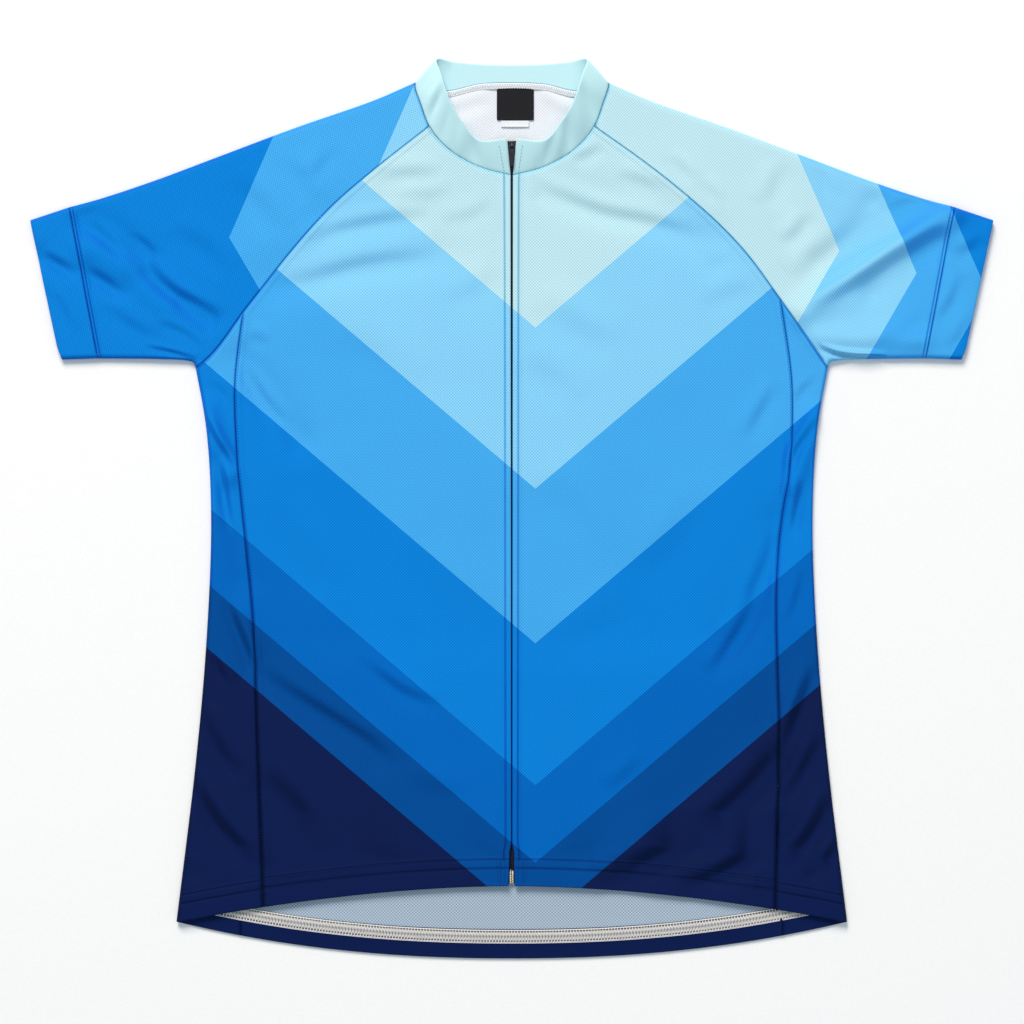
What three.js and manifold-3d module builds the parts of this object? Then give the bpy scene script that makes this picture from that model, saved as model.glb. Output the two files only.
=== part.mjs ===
import * as THREE from 'three';
import { mergeVertices } from 'three/addons/utils/BufferGeometryUtils.js';
import Module from 'manifold-3d';

// A short-sleeved cycling jersey laid flat with its front up, in millimetres.
// The collar points along +Y and the jersey rests on z = 0.
// Left and right are the wearer's, so the left sleeve lies on the +X side.

// Cloth and clearances
const clothThickness = 1;
const collarThickness = 1.4;
const seamGap = 0.35;
const layerGap = 0.3;
const bodyFullness = 2.4;
const foldRoundness = 4.5;

// Hems: heights of the hem line at the centre and at its two corners
const hemCornerOut = 284.8;
const hemCornerY = -350.8;
const frontHemY = -320;
const backHemY = -382;
const frontHemCurve = 1.8;
const backHemCurve = 2.2;
const hemTurnUp = 22;
const hemExtra = 0.7;

// Zip
const zipTapeWidth = 14;
const zipSlit = 0.85;
const zipSlitAtHem = 2.6;
const zipSlitOpensY = -230;
const zipSlitOpenY = -289;
const zipRiseY = 284;
const zipRiseLength = 16;
const zipRise = 2.2;
const zipTopY = 312.4;

// Rear pocket panel, under the back
const pocketHalfWidth = 184;
const pocketMouthY = -186;
const pocketAboveHem = 24;

// How far past the pocket panel the back stays raised, and how far it takes to come down
const raiseBeside = { margin: 6, ramp: 36 };
const raiseAbove = { margin: 42, ramp: 40 };
const raiseBelow = { margin: 2.5, ramp: 20 };

// Neck: the seam and the top edge of the standing collar, from the zip to the centre back
// layer is 1 on the front, 0 on the fold at the shoulder and -1 on the back
const collarStations = [
  { seamOut: 1.0, seamY: 283.5, layer: 1, topOut: 3.8, topY: 313.3, topZ: 8.5 },
  { seamOut: 23.8, seamY: 289.2, layer: 1, topOut: 28.2, topY: 312.0, topZ: 10 },
  { seamOut: 45.5, seamY: 299.6, layer: 1, topOut: 42.6, topY: 328.2, topZ: 12.5 },
  { seamOut: 60.5, seamY: 312.0, layer: 1, topOut: 51.4, topY: 342.0, topZ: 14 },
  { seamOut: 70.0, seamY: 325.0, layer: 1, topOut: 56.9, topY: 356.0, topZ: 14 },
  { seamOut: 77.0, seamY: 343.0, layer: 0.9, topOut: 60.6, topY: 368.0, topZ: 12 },
  { seamOut: 81.7, seamY: 362.3, layer: 0, topOut: 64.3, topY: 381.6, topZ: 6 },
  { seamOut: 57.0, seamY: 355.2, layer: -1, topOut: 50.0, topY: 379.4, topZ: 0 },
  { seamOut: 27.0, seamY: 361.2, layer: -1, topOut: 27.0, topY: 377.2, topZ: 0 },
  { seamOut: 0.0, seamY: 362.4, layer: -1, topOut: 0.0, topY: 376.4, topZ: 0 },
];
const raglanStation = 4;
const shoulderStation = 6;
const backNeckStation = 7;
const segmentsPerStation = 3;

// Shoulder fold of the sleeve, from the neck to the band seam
const shoulderFold = [
  { out: 81.7, y: 362.3 },
  { out: 116.5, y: 347.2 },
  { out: 184.5, y: 323.4 },
  { out: 252.5, y: 297.9 },
  { out: 303.5, y: 278.8 },
  { out: 349.0, y: 263.6 },
  { out: 375.7, y: 256.3 },
];

// Underarm fold of the sleeve, from the armpit to the band seam
const underarmFold = [
  { out: 268.4, y: 120.0 },
  { out: 270.6, y: 124.4 },
  { out: 276.0, y: 126.0 },
  { out: 300.0, y: 127.2 },
  { out: 351.5, y: 127.8 },
];

// Sleeve band: its outer end, with the seam end shared with the sleeve
const bandTop = { out: 408.9, y: 245.2 };
const bandBottom = { out: 383.6, y: 126.7 };
const bandExtra = 0.5;
const bandCorner = 1.5;

// Side of the laid body, from the armpit to the hem corner
const bodySide = [
  { out: 268.4, y: 120.0 },
  { out: 259.3, y: 67.0 },
  { out: 255.4, y: -9.5 },
  { out: 259.3, y: -111.0 },
  { out: 268.2, y: -213.0 },
  { out: hemCornerOut, y: hemCornerY },
];

// Seams of the back, the same on both sides
const backRaglan = [
  { out: 57.0, y: 355.2 },
  { out: 118.0, y: 302.0 },
  { out: 178.0, y: 240.0 },
  { out: 228.0, y: 172.0 },
];
const backUnderarmRaglan = [
  { out: 228.0, y: 172.0 },
  { out: 247.0, y: 143.0 },
  { out: 268.4, y: 120.0 },
];
const backSideSeam = [
  { out: 228.0, y: 172.0 },
  { out: 234.0, y: 90.0 },
  { out: 228.0, y: -20.0 },
  { out: 228.0, y: -200.0 },
  { out: 230.0, y: hemY(230, backHemY, backHemCurve) },
];

// Seams of the front, which lie a little differently on the two sides
const frontSeams = {
  right: {
    sign: -1,
    raglan: [
      { out: 70.0, y: 325.0 },
      { out: 116.5, y: 288.4 },
      { out: 152.3, y: 257.5 },
      { out: 184.9, y: 221.7 },
      { out: 228.0, y: 167.2 },
    ],
    underarmRaglan: [
      { out: 228.0, y: 167.2 },
      { out: 248.8, y: 138.0 },
      { out: 259.4, y: 126.5 },
      { out: 268.4, y: 120.0 },
    ],
    sideSeam: [
      { out: 228.0, y: 167.2 },
      { out: 234.8, y: 110.0 },
      { out: 233.3, y: 50.0 },
      { out: 225.3, y: -35.0 },
      { out: 219.2, y: -95.0 },
      { out: 215.9, y: -186.0 },
      { out: 210.2, y: hemY(210.2, frontHemY, frontHemCurve) },
    ],
  },
  left: {
    sign: 1,
    raglan: [
      { out: 70.0, y: 325.0 },
      { out: 107.2, y: 298.7 },
      { out: 135.7, y: 276.8 },
      { out: 173.6, y: 244.1 },
      { out: 199.7, y: 216.4 },
      { out: 228.0, y: 178.0 },
    ],
    underarmRaglan: [
      { out: 228.0, y: 178.0 },
      { out: 245.0, y: 153.5 },
      { out: 258.5, y: 134.0 },
      { out: 268.4, y: 120.0 },
    ],
    sideSeam: [
      { out: 228.0, y: 178.0 },
      { out: 237.6, y: 109.0 },
      { out: 236.4, y: 40.0 },
      { out: 228.6, y: -13.0 },
      { out: 224.5, y: -68.0 },
      { out: 226.5, y: -198.0 },
      { out: 223.1, y: hemY(223.1, frontHemY, frontHemCurve) },
    ],
  },
};

// Largest folds of the upper layer: a line, its half width, and its rise (a trough is below 0)
const folds = [
  { x: -362, y: 246, toX: -314, toY: 218, width: 13, rise: -2.2 },
  { x: -306, y: 199, toX: -258, toY: 164, width: 13, rise: -2.2 },
  { x: -352, y: 222, toX: -290, toY: 178, width: 14, rise: 1.8 },
  { x: -400, y: 214, toX: -330, toY: 188, width: 10, rise: -1.6 },
  { x: 372, y: 250, toX: 248, toY: 168, width: 13, rise: 5 },
  { x: 362, y: 226, toX: 306, toY: 184, width: 12, rise: -2.4 },
  { x: 307, y: 258, toX: 258, toY: 214, width: 12, rise: -2 },
  { x: 346, y: 144, toX: 262, toY: 146, width: 10, rise: 2.4 },
  { x: -230, y: 128, toX: -180, toY: 58, width: 14, rise: -2 },
  { x: -258, y: 82, toX: -240, toY: 30, width: 10, rise: 2.6 },
  { x: 258, y: 78, toX: 238, toY: 22, width: 10, rise: 2.6 },
  { x: 228, y: -12, toX: 184, toY: -110, width: 16, rise: -2 },
  { x: -244, y: 40, toX: -226, toY: -58, width: 13, rise: -2 },
  { x: -198, y: 196, toX: -66, toY: 217, width: 20, rise: -1.6 },
  { x: -152, y: 244, toX: -72, toY: 252, width: 16, rise: -1.2 },
  { x: 10, y: 284, toX: 168, toY: 228, width: 20, rise: -1.6 },
  { x: -212, y: -136, toX: -112, toY: -210, width: 18, rise: -1.6 },
  { x: 222, y: -220, toX: 142, toY: -262, width: 18, rise: -1.6 },
];

// Steps of the shared seams, so that neighbours have the same points on them
const raglanSteps = 6;
const sideSteps = 14;
const sleeveRows = 15;
const underarmSteps = [0, 0.45, 0.85, 0.97, 1];
const neckStations = [6, 5.75, 5, 4];
const neckShare = 0.12;
const underarmShare = 0.2;
const frontRaglanShare = 0.3;

// Colours of the dyed cloth, from the neck to the hem
const colours = {
  pale: 0xb9e4f5,
  sky: 0x84cdf7,
  blue: 0x48aff2,
  strong: 0x0f82da,
  deep: 0x0863b0,
  navy: 0x14204e,
  inside: 0xe6edf4,
};

function clamp(value, low, high) {
  return Math.min(high, Math.max(low, value));
}

function lerp(from, to, share) {
  return from + (to - from) * share;
}

// Eases from 0 to 1 as the value goes from one end to the other, either way round
function smooth(from, to, value) {
  const share = clamp((value - from) / (to - from), 0, 1);
  return share * share * (3 - 2 * share);
}

// Height of a hem line at a distance from the centre
function hemY(out, centreY, curve) {
  return centreY + (hemCornerY - centreY) * Math.pow(out / hemCornerOut, curve);
}

// A smooth line through rows of { out, y }, evenly spaced along its length
function lineThrough(rows) {
  const points = rows.map((row) => new THREE.Vector3(row.out, row.y, 0));
  const curve = new THREE.CatmullRomCurve3(points, false, 'centripetal');
  return (share) => {
    const point = curve.getPointAt(clamp(share, 0, 1));
    return { out: point.x, y: point.y };
  };
}

function straightLine(from, to) {
  return (share) => ({ out: lerp(from.out, to.out, share), y: lerp(from.y, to.y, share) });
}

// The neck seam and the collar's top edge, by station number from the zip (0) to the centre back (9)
function stationCurve(pick) {
  const curve = new THREE.CatmullRomCurve3(collarStations.map(pick), false, 'centripetal');
  return (station) => curve.getPoint(station / (collarStations.length - 1));
}

const neckSeam = stationCurve((row) => new THREE.Vector3(row.seamOut, row.seamY, row.layer));
const collarTop = stationCurve((row) => new THREE.Vector3(row.topOut, row.topY, row.topZ));

function neckPoint(station) {
  const point = neckSeam(station);
  return { out: point.x, y: point.y };
}

// A four-sided patch between two edges along u and two edges along v
function patch(edges) {
  const { atU0, atU1, atV0, atV1 } = edges;
  const corner00 = atU0(0);
  const corner01 = atU0(1);
  const corner10 = atU1(0);
  const corner11 = atU1(1);
  const blend = (key, u, v) =>
    lerp(atU0(v)[key], atU1(v)[key], u) +
    lerp(atV0(u)[key], atV1(u)[key], v) -
    lerp(lerp(corner00[key], corner01[key], v), lerp(corner10[key], corner11[key], v), u);
  return (u, v) => ({ out: blend('out', u, v), y: blend('y', u, v) });
}

// The same patch, pulled back from its edges by the gap that the seams keep
function insetPatch(edges, gaps) {
  const surface = patch(edges);
  const spanU = (v) => distance(surface(0, v), surface(1, v));
  const spanV = (u) => distance(surface(u, 0), surface(u, 1));
  return (u, v) => {
    const alongU = spanU(v);
    const alongV = spanV(u);
    const insetU = u + ((1 - u) * gaps.u0 - u * gaps.u1) / alongU;
    const insetV = v + ((1 - v) * gaps.v0 - v * gaps.v1) / alongV;
    return surface(insetU, insetV);
  };
}

function distance(from, to) {
  return Math.hypot(from.out - to.out, from.y - to.y);
}

function distanceToLine(x, y, line) {
  const alongX = line.toX - line.x;
  const alongY = line.toY - line.y;
  const share = clamp(((x - line.x) * alongX + (y - line.y) * alongY) / (alongX ** 2 + alongY ** 2), 0, 1);
  return Math.hypot(x - line.x - share * alongX, y - line.y - share * alongY);
}

function foldRise(x, y) {
  return folds.reduce((sum, fold) => {
    const away = distanceToLine(x, y, fold) / fold.width;
    return sum + fold.rise * Math.exp(-away * away);
  }, 0);
}

function rampDown(past, raise) {
  return 1 - smooth(raise.margin, raise.margin + raise.ramp, past);
}

// The back is raised where the pocket panel lies under it
function pocketRise(x, y) {
  const pocketFootY = hemY(Math.abs(x), backHemY, backHemCurve) + pocketAboveHem;
  const beside = rampDown(Math.abs(x) - pocketHalfWidth, raiseBeside);
  const above = rampDown(y - pocketMouthY, raiseAbove);
  const below = rampDown(pocketFootY - y, raiseBelow);
  return (clothThickness + layerGap) * beside * above * below;
}

// The upper layer clears the zip tape near the centre
function tapeRise(x) {
  return (clothThickness + layerGap) * (1 - smooth(zipTapeWidth + 1, zipTapeWidth + 16, Math.abs(x)));
}

// Underside of the upper layer
function upperUnderside(x, y) {
  const soft = Math.max(0, bodyFullness + foldRise(x, y) - tapeRise(x));
  return pocketRise(x, y) + clothThickness + layerGap + tapeRise(x) + soft;
}

function upperTop(x, y) {
  return upperUnderside(x, y) + clothThickness;
}

// Half width of the slit between the two fronts
function zipEdge(y) {
  return lerp(zipSlit, zipSlitAtHem, smooth(zipSlitOpensY, zipSlitOpenY, y));
}

function zipTapeUnderside(y) {
  const rise = zipRise * smooth(zipRiseY, zipRiseY + zipRiseLength, y);
  return pocketRise(0, y) + clothThickness + layerGap + rise;
}

// A closed wall between an outer and an inner grid of points. Rows that close go all round.
function wallGeometry(outer, inner, closed) {
  const rows = outer.length;
  const columns = outer[0].length;
  const positions = [...outer.flat(), ...inner.flat()].flatMap((point) => [point.x, point.y, point.z]);
  const innerStart = rows * columns;
  const faces = [];
  const quad = (a, b, c, d) => faces.push(a, b, c, a, c, d);
  const spans = closed ? columns : columns - 1;
  for (let row = 0; row < rows - 1; row += 1) {
    for (let span = 0; span < spans; span += 1) {
      const here = row * columns + span;
      const next = row * columns + (span + 1) % columns;
      quad(here, next, next + columns, here + columns);
      quad(innerStart + here, innerStart + here + columns, innerStart + next + columns, innerStart + next);
    }
  }
  for (let span = 0; span < spans; span += 1) {
    const next = (span + 1) % columns;
    const last = (rows - 1) * columns;
    quad(span, innerStart + span, innerStart + next, next);
    quad(last + span, last + next, innerStart + last + next, innerStart + last + span);
  }
  if (!closed) {
    for (let row = 0; row < rows - 1; row += 1) {
      const here = row * columns;
      const end = here + columns - 1;
      quad(here, here + columns, innerStart + here + columns, innerStart + here);
      quad(end, innerStart + end, innerStart + end + columns, end + columns);
    }
  }
  const geometry = new THREE.BufferGeometry();
  geometry.setAttribute('position', new THREE.Float32BufferAttribute(positions, 3));
  geometry.setIndex(enclosedVolume(positions, faces) < 0 ? faces.reverse() : faces);
  geometry.computeVertexNormals();
  return geometry;
}

function enclosedVolume(positions, faces) {
  const corner = (index) => new THREE.Vector3().fromArray(positions, index * 3);
  let volume = 0;
  for (let face = 0; face < faces.length; face += 3) {
    const [a, b, c] = [corner(faces[face]), corner(faces[face + 1]), corner(faces[face + 2])];
    volume += a.dot(b.cross(c)) / 6;
  }
  return volume;
}

function cloth(name, geometry, colour, roughness = 0.85) {
  const material = new THREE.MeshStandardMaterial({ color: colour, roughness, metalness: 0 });
  const mesh = new THREE.Mesh(geometry, material);
  mesh.name = name;
  return mesh;
}

function hardware(name, geometry, colour, roughness, metalness) {
  const material = new THREE.MeshStandardMaterial({ color: colour, roughness, metalness });
  const mesh = new THREE.Mesh(geometry, material);
  mesh.name = name;
  return mesh;
}

// A grid of points from lists of u and v
function grid(listU, listV, pointAt) {
  return listU.map((u) => listV.map((v) => pointAt(u, v)));
}

function evenSteps(count) {
  return Array.from({ length: count + 1 }, (_, step) => step / count);
}

// Edge of a panel that follows the raglan and then the side seam
function raglanThenSide(raglanRows, sideRows, share) {
  const raglan = lineThrough(raglanRows);
  const side = lineThrough(sideRows);
  return (v) => (v <= share ? raglan(v / share) : side((v - share) / (1 - share)));
}

function raglanThenSideSteps(share) {
  const onRaglan = evenSteps(raglanSteps).map((step) => step * share);
  const onSide = evenSteps(sideSteps).map((step) => share + step * (1 - share));
  return [...onRaglan, ...onSide.slice(1)];
}

// A layer of cloth of even thickness over an underside
function layerPoints(point, sign, underside, extra = 0) {
  const x = point.out * sign;
  const low = underside(x, point.y);
  return {
    inner: new THREE.Vector3(x, point.y, low),
    outer: new THREE.Vector3(x, point.y, low + clothThickness + extra),
  };
}

function frontPanel(name, seams, colour) {
  const columns = evenSteps(raglanStation * segmentsPerStation);
  const lastSide = seams.sideSeam.at(-1);
  const zipLine = (v) => {
    const y = lerp(neckPoint(0).y, frontHemY, v);
    return { out: zipEdge(y), y };
  };
  const surface = insetPatch({
    atU0: zipLine,
    atU1: raglanThenSide(seams.raglan, seams.sideSeam, frontRaglanShare),
    atV0: (u) => neckPoint(u * raglanStation),
    atV1: (u) => {
      const out = lerp(zipSlitAtHem, lastSide.out, u);
      return { out, y: hemY(out, frontHemY, frontHemCurve) };
    },
  }, { u0: 0, u1: seamGap, v0: seamGap, v1: 0 });
  const points = grid(raglanThenSideSteps(frontRaglanShare), columns, (v, u) =>
    layerPoints(surface(u, v), seams.sign, upperUnderside));
  return cloth(name, wallGeometry(points.map(outers), points.map(inners), false), colour);
}

function outers(row) {
  return row.map((pair) => pair.outer);
}

function inners(row) {
  return row.map((pair) => pair.inner);
}

function backPanel() {
  const across = 2 * (collarStations.length - 1 - backNeckStation) * segmentsPerStation;
  const edge = raglanThenSide(backRaglan, backSideSeam, frontRaglanShare);
  const mirrored = (point) => ({ out: -point.out, y: point.y });
  const surface = insetPatch({
    atU0: (v) => mirrored(edge(v)),
    atU1: edge,
    atV0: (u) => {
      const station = lerp(backNeckStation, collarStations.length - 1, 1 - Math.abs(2 * u - 1));
      const point = neckPoint(station);
      return u < 0.5 ? mirrored(point) : point;
    },
    atV1: (u) => {
      const out = lerp(-backSideSeam.at(-1).out, backSideSeam.at(-1).out, u);
      return { out, y: hemY(Math.abs(out), backHemY, backHemCurve) };
    },
  }, { u0: seamGap, u1: seamGap, v0: seamGap, v1: 0 });
  const hemShare = hemTurnUp / (collarStations.at(-1).seamY - backHemY);
  const hemRows = [1 - hemShare, 1 - hemShare + 0.001, 1];
  const rows = [...raglanThenSideSteps(frontRaglanShare).slice(0, -1), ...hemRows];
  const points = grid(rows, evenSteps(across), (v, u) =>
    layerPoints(surface(u, v), 1, pocketRise, v > 1 - hemShare ? hemExtra : 0));
  return cloth('back', wallGeometry(points.map(outers), points.map(inners), false), colours.inside);
}

// How far the rounding of a fold has opened at a distance from it: 0 on the fold, 1 in the flat
function foldOpening(away) {
  const share = clamp(away / foldRoundness, 0, 1);
  return Math.sqrt(1 - (1 - share) ** 2);
}

// Outer and inner points of a layer that turns round a fold
function foldedPoints(point, sign, isUpper, away, inward, extra = 0) {
  const x = point.out * sign;
  const top = upperTop(x, point.y) + extra;
  const opening = foldOpening(away);
  const middle = top / 2;
  const side = isUpper ? 1 : -1;
  const outer = new THREE.Vector3(x, point.y, middle + side * middle * opening);
  const inner = new THREE.Vector3(
    x + inward.x * sign * clothThickness * (1 - opening),
    point.y + inward.y * clothThickness * (1 - opening),
    outer.z - side * clothThickness * opening,
  );
  return { outer, inner };
}

function direction(from, to) {
  return new THREE.Vector2(to.out - from.out, to.y - from.y).normalize();
}

// Side panel: a strip folded round the side of the body
function sidePanel(name, seams, colour) {
  const side = lineThrough(bodySide);
  const frontSeam = lineThrough(seams.sideSeam);
  const backSeam = lineThrough(backSideSeam);
  const hemLine = (from, centreY, curve) => (u) => {
    const out = lerp(from, hemCornerOut, u);
    return { out, y: hemY(out, centreY, curve) };
  };
  const gaps = { u0: seamGap, u1: 0, v0: seamGap, v1: 0 };
  const frontHalf = insetPatch({
    atU0: frontSeam,
    atU1: side,
    atV0: lineThrough(seams.underarmRaglan),
    atV1: hemLine(seams.sideSeam.at(-1).out, frontHemY, frontHemCurve),
  }, gaps);
  const backHalf = insetPatch({
    atU0: backSeam,
    atU1: side,
    atV0: lineThrough(backUnderarmRaglan),
    atV1: hemLine(backSideSeam.at(-1).out, backHemY, backHemCurve),
  }, gaps);
  const halfPoints = (surface, isUpper) => (v, u) => {
    const point = surface(u, v);
    const edge = surface(1, v);
    return foldedPoints(point, seams.sign, isUpper, distance(point, edge), direction(edge, surface(0, v)));
  };
  const rows = evenSteps(sideSteps);
  const front = grid(rows, underarmSteps, halfPoints(frontHalf, true));
  const back = grid(rows, underarmSteps.slice(0, -1).reverse(), halfPoints(backHalf, false));
  const points = front.map((row, index) => [...row, ...back[index]]);
  return cloth(name, wallGeometry(points.map(outers), points.map(inners), false), colour);
}

// The sleeve's body edge: the neck, the raglan, and the raglan's end under the arm
function sleeveEdge(neckFrom, neckTo, raglanRows, underarmRows) {
  const raglan = lineThrough(raglanRows);
  const underarm = lineThrough(underarmRows);
  return (v) => {
    if (v < neckShare) {
      return neckPoint(lerp(neckFrom, neckTo, v / neckShare));
    }
    if (v < 1 - underarmShare) {
      return raglan((v - neckShare) / (1 - underarmShare - neckShare));
    }
    return underarm((v - 1 + underarmShare) / underarmShare);
  };
}

function sleeveColumns() {
  const span = shoulderStation - raglanStation;
  const fromStation = (station) => neckShare * (shoulderStation - station) / span;
  const neck = neckStations.map(fromStation);
  const raglan = evenSteps(raglanSteps).slice(1).map((step) => lerp(neckShare, 1 - underarmShare, step));
  const underarm = underarmSteps.slice(1).map((step) => lerp(1 - underarmShare, 1, step));
  return [...neck, ...raglan, ...underarm];
}

// A flattened tube between a start edge and an end edge, with folds along v = 0 and v = 1
function flatTube(upper, lower, rows, sign, extra) {
  const columns = sleeveColumns();
  const layer = (surface, isUpper) => (u, v) => {
    const point = surface(u, v);
    const fold = surface(u, v < 0.5 ? 0 : 1);
    const far = surface(u, v < 0.5 ? 1 : 0);
    return foldedPoints(point, sign, isUpper, distance(point, fold), direction(fold, far), extra);
  };
  const top = grid(rows, columns, layer(upper, true));
  const bottom = grid(rows, columns.slice(1, -1).reverse(), layer(lower, false));
  const points = top.map((row, index) => [...row, ...bottom[index]]);
  return wallGeometry(points.map(outers), points.map(inners), true);
}

function sleeve(name, seams, colour) {
  const ends = {
    atU1: straightLine(shoulderFold.at(-1), underarmFold.at(-1)),
    atV0: lineThrough(shoulderFold),
    atV1: lineThrough(underarmFold),
  };
  const gaps = { u0: seamGap, u1: seamGap, v0: 0, v1: 0 };
  const frontEdge = sleeveEdge(shoulderStation, raglanStation, seams.raglan, seams.underarmRaglan);
  const backEdge = sleeveEdge(shoulderStation, backNeckStation, backRaglan, backUnderarmRaglan);
  const upper = insetPatch({ ...ends, atU0: frontEdge }, gaps);
  const lower = insetPatch({ ...ends, atU0: backEdge }, gaps);
  return cloth(name, flatTube(upper, lower, evenSteps(sleeveRows), seams.sign, 0), colour);
}

// Band at the end of the sleeve, a short tube with one rounded corner
function sleeveBand(name, seams, colour) {
  const surface = insetPatch({
    atU0: straightLine(shoulderFold.at(-1), underarmFold.at(-1)),
    atU1: straightLine(bandTop, bandBottom),
    atV0: straightLine(shoulderFold.at(-1), bandTop),
    atV1: straightLine(underarmFold.at(-1), bandBottom),
  }, { u0: 0, u1: 0, v0: 0, v1: 0 });
  const rounded = (u, v) => {
    const point = surface(u, v);
    const length = distance(surface(0, v), surface(1, v));
    const pull = bandCorner * smooth(0.9, 1, v) * smooth(0.6, 1, u) / length;
    return pull > 0 ? surface(u - pull * u, v) : point;
  };
  return cloth(name, flatTube(rounded, rounded, [0, 0.5, 0.85, 1], seams.sign, bandExtra), colour);
}

// Standing collar: a band from one zip edge round the back to the other
function collar() {
  const across = [0, 0.34, 0.67, 1];
  const lastStation = collarStations.length - 1;
  const steps = lastStation * segmentsPerStation;
  const faceAt = (station, sign) => {
    const seam = neckSeam(station);
    const top = collarTop(station);
    const x = seam.x * sign;
    const seamTop = upperTop(x, seam.y) + collarThickness - clothThickness;
    const layer = clamp(seam.z, -1, 1);
    const seamZ = layer >= 0 ? lerp(seamTop / 2, seamTop, layer) : seamTop / 2 * (1 + layer);
    const width = Math.hypot(top.x - seam.x, top.y - seam.y);
    return across.map((share) => {
      const inset = lerp(2 * seamGap / width, 1, share);
      return new THREE.Vector3(
        sign * lerp(seam.x, top.x, inset),
        lerp(seam.y, top.y, inset),
        lerp(seamZ, Math.max(0, top.z), inset),
      );
    });
  };
  const half = Array.from({ length: steps + 1 }, (_, step) => step / segmentsPerStation);
  const right = half.map((station) => faceAt(station, -1));
  const left = half.slice(0, -1).reverse().map((station) => faceAt(station, 1));
  const outer = [...right, ...left];
  const inner = outer.map((row, index) => row.map((point, column) => {
    const along = outer[Math.min(index + 1, outer.length - 1)][column].clone()
      .sub(outer[Math.max(index - 1, 0)][column]);
    const up = row[Math.min(column + 1, row.length - 1)].clone().sub(row[Math.max(column - 1, 0)]);
    const inwards = along.cross(up).normalize().multiplyScalar(collarThickness);
    return point.clone().add(inwards);
  }));
  return cloth('collar', wallGeometry(outer, inner, false), colours.pale, 0.8);
}

function pocketPanel() {
  const rows = evenSteps(6);
  const columns = evenSteps(10);
  const points = grid(rows, columns, (v, u) => {
    const x = lerp(-pocketHalfWidth, pocketHalfWidth, u);
    const footY = hemY(Math.abs(x), backHemY, backHemCurve) + pocketAboveHem;
    return layerPoints({ out: x, y: lerp(pocketMouthY, footY, v) }, 1, () => 0);
  });
  const geometry = wallGeometry(points.map(outers), points.map(inners), false);
  return cloth('rear_pocket_panel', geometry, colours.navy);
}

function zipTape(name, sign) {
  const bottomY = frontHemY + 2;
  const stretch = [
    ...evenSteps(14).map((step) => lerp(bottomY, zipRiseY - 1, step)),
    ...evenSteps(5).map((step) => lerp(zipRiseY + 2, zipTopY, step)),
  ];
  const points = grid(stretch, [layerGap / 2, zipTapeWidth], (y, out) =>
    layerPoints({ out, y }, sign, () => zipTapeUnderside(y)));
  return cloth(name, wallGeometry(points.map(outers), points.map(inners), false), 0x1c2233);
}

// A flat label on the inside of the back
function label(name, box, colour) {
  const thickness = 0.8;
  const geometry = new THREE.BoxGeometry(box.width, box.height, thickness);
  const mesh = cloth(name, geometry, colour, 0.7);
  mesh.position.set(box.x, box.y, clothThickness + layerGap + thickness / 2);
  return mesh;
}

// Slider: a tapered body with a half-ring bridge on top
const sliderHead = zipTopY - 0.6;
const sliderLength = 8;
const sliderHeadWidth = 5.6;
const sliderTailWidth = 4.2;
const sliderHeight = 2.6;
const sliderBase = clothThickness * 2 + layerGap * 2 + zipRise;
const bridgeOuter = 2.3;
const bridgeInner = 1.3;
const bridgeWidth = 1.3;
const bridgeSink = 0.4;
const pivotLift = 1.0;
const pivotY = sliderHead - sliderLength / 2;
const pivotZ = sliderBase + sliderHeight + pivotLift;

function sliderBody() {
  const outline = new THREE.Shape([
    new THREE.Vector2(-sliderHeadWidth / 2, sliderHead),
    new THREE.Vector2(-sliderTailWidth / 2, sliderHead - sliderLength),
    new THREE.Vector2(sliderTailWidth / 2, sliderHead - sliderLength),
    new THREE.Vector2(sliderHeadWidth / 2, sliderHead),
  ]);
  const body = new THREE.ExtrudeGeometry(outline, { depth: sliderHeight, bevelEnabled: false });
  return body.translate(0, 0, sliderBase);
}

// An arch along Y whose feet sink a little into the body
function sliderBridge() {
  const foot = pivotLift + bridgeSink;
  const arch = new THREE.Shape();
  arch.moveTo(-bridgeOuter, -foot);
  arch.lineTo(-bridgeInner, -foot);
  arch.lineTo(-bridgeInner, 0);
  arch.absarc(0, 0, bridgeInner, Math.PI, 0, true);
  arch.lineTo(bridgeInner, -foot);
  arch.lineTo(bridgeOuter, -foot);
  arch.lineTo(bridgeOuter, 0);
  arch.absarc(0, 0, bridgeOuter, 0, Math.PI, false);
  const across = { depth: bridgeWidth, bevelEnabled: false, curveSegments: 6 };
  const geometry = new THREE.ExtrudeGeometry(arch, across);
  geometry.translate(0, 0, -bridgeWidth / 2);
  geometry.rotateX(Math.PI / 2);
  geometry.rotateZ(Math.PI / 2);
  return geometry.translate(0, pivotY, pivotZ);
}

function asSolid(geometry) {
  const bare = geometry.clone();
  bare.deleteAttribute('normal');
  bare.deleteAttribute('uv');
  const merged = mergeVertices(bare, 1e-4);
  return new wasm.Manifold(new wasm.Mesh({
    numProp: 3,
    vertProperties: new Float32Array(merged.attributes.position.array),
    triVerts: new Uint32Array(merged.index.array),
  }));
}

function joined(first, second) {
  const mesh = asSolid(first).add(asSolid(second)).getMesh();
  const geometry = new THREE.BufferGeometry();
  geometry.setAttribute('position', new THREE.BufferAttribute(mesh.vertProperties, 3));
  geometry.setIndex(new THREE.BufferAttribute(mesh.triVerts, 1));
  geometry.computeVertexNormals();
  return geometry;
}

function slider() {
  return hardware('zip_slider', joined(sliderBody(), sliderBridge()), 0x24262b, 0.4, 0.6);
}

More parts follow.
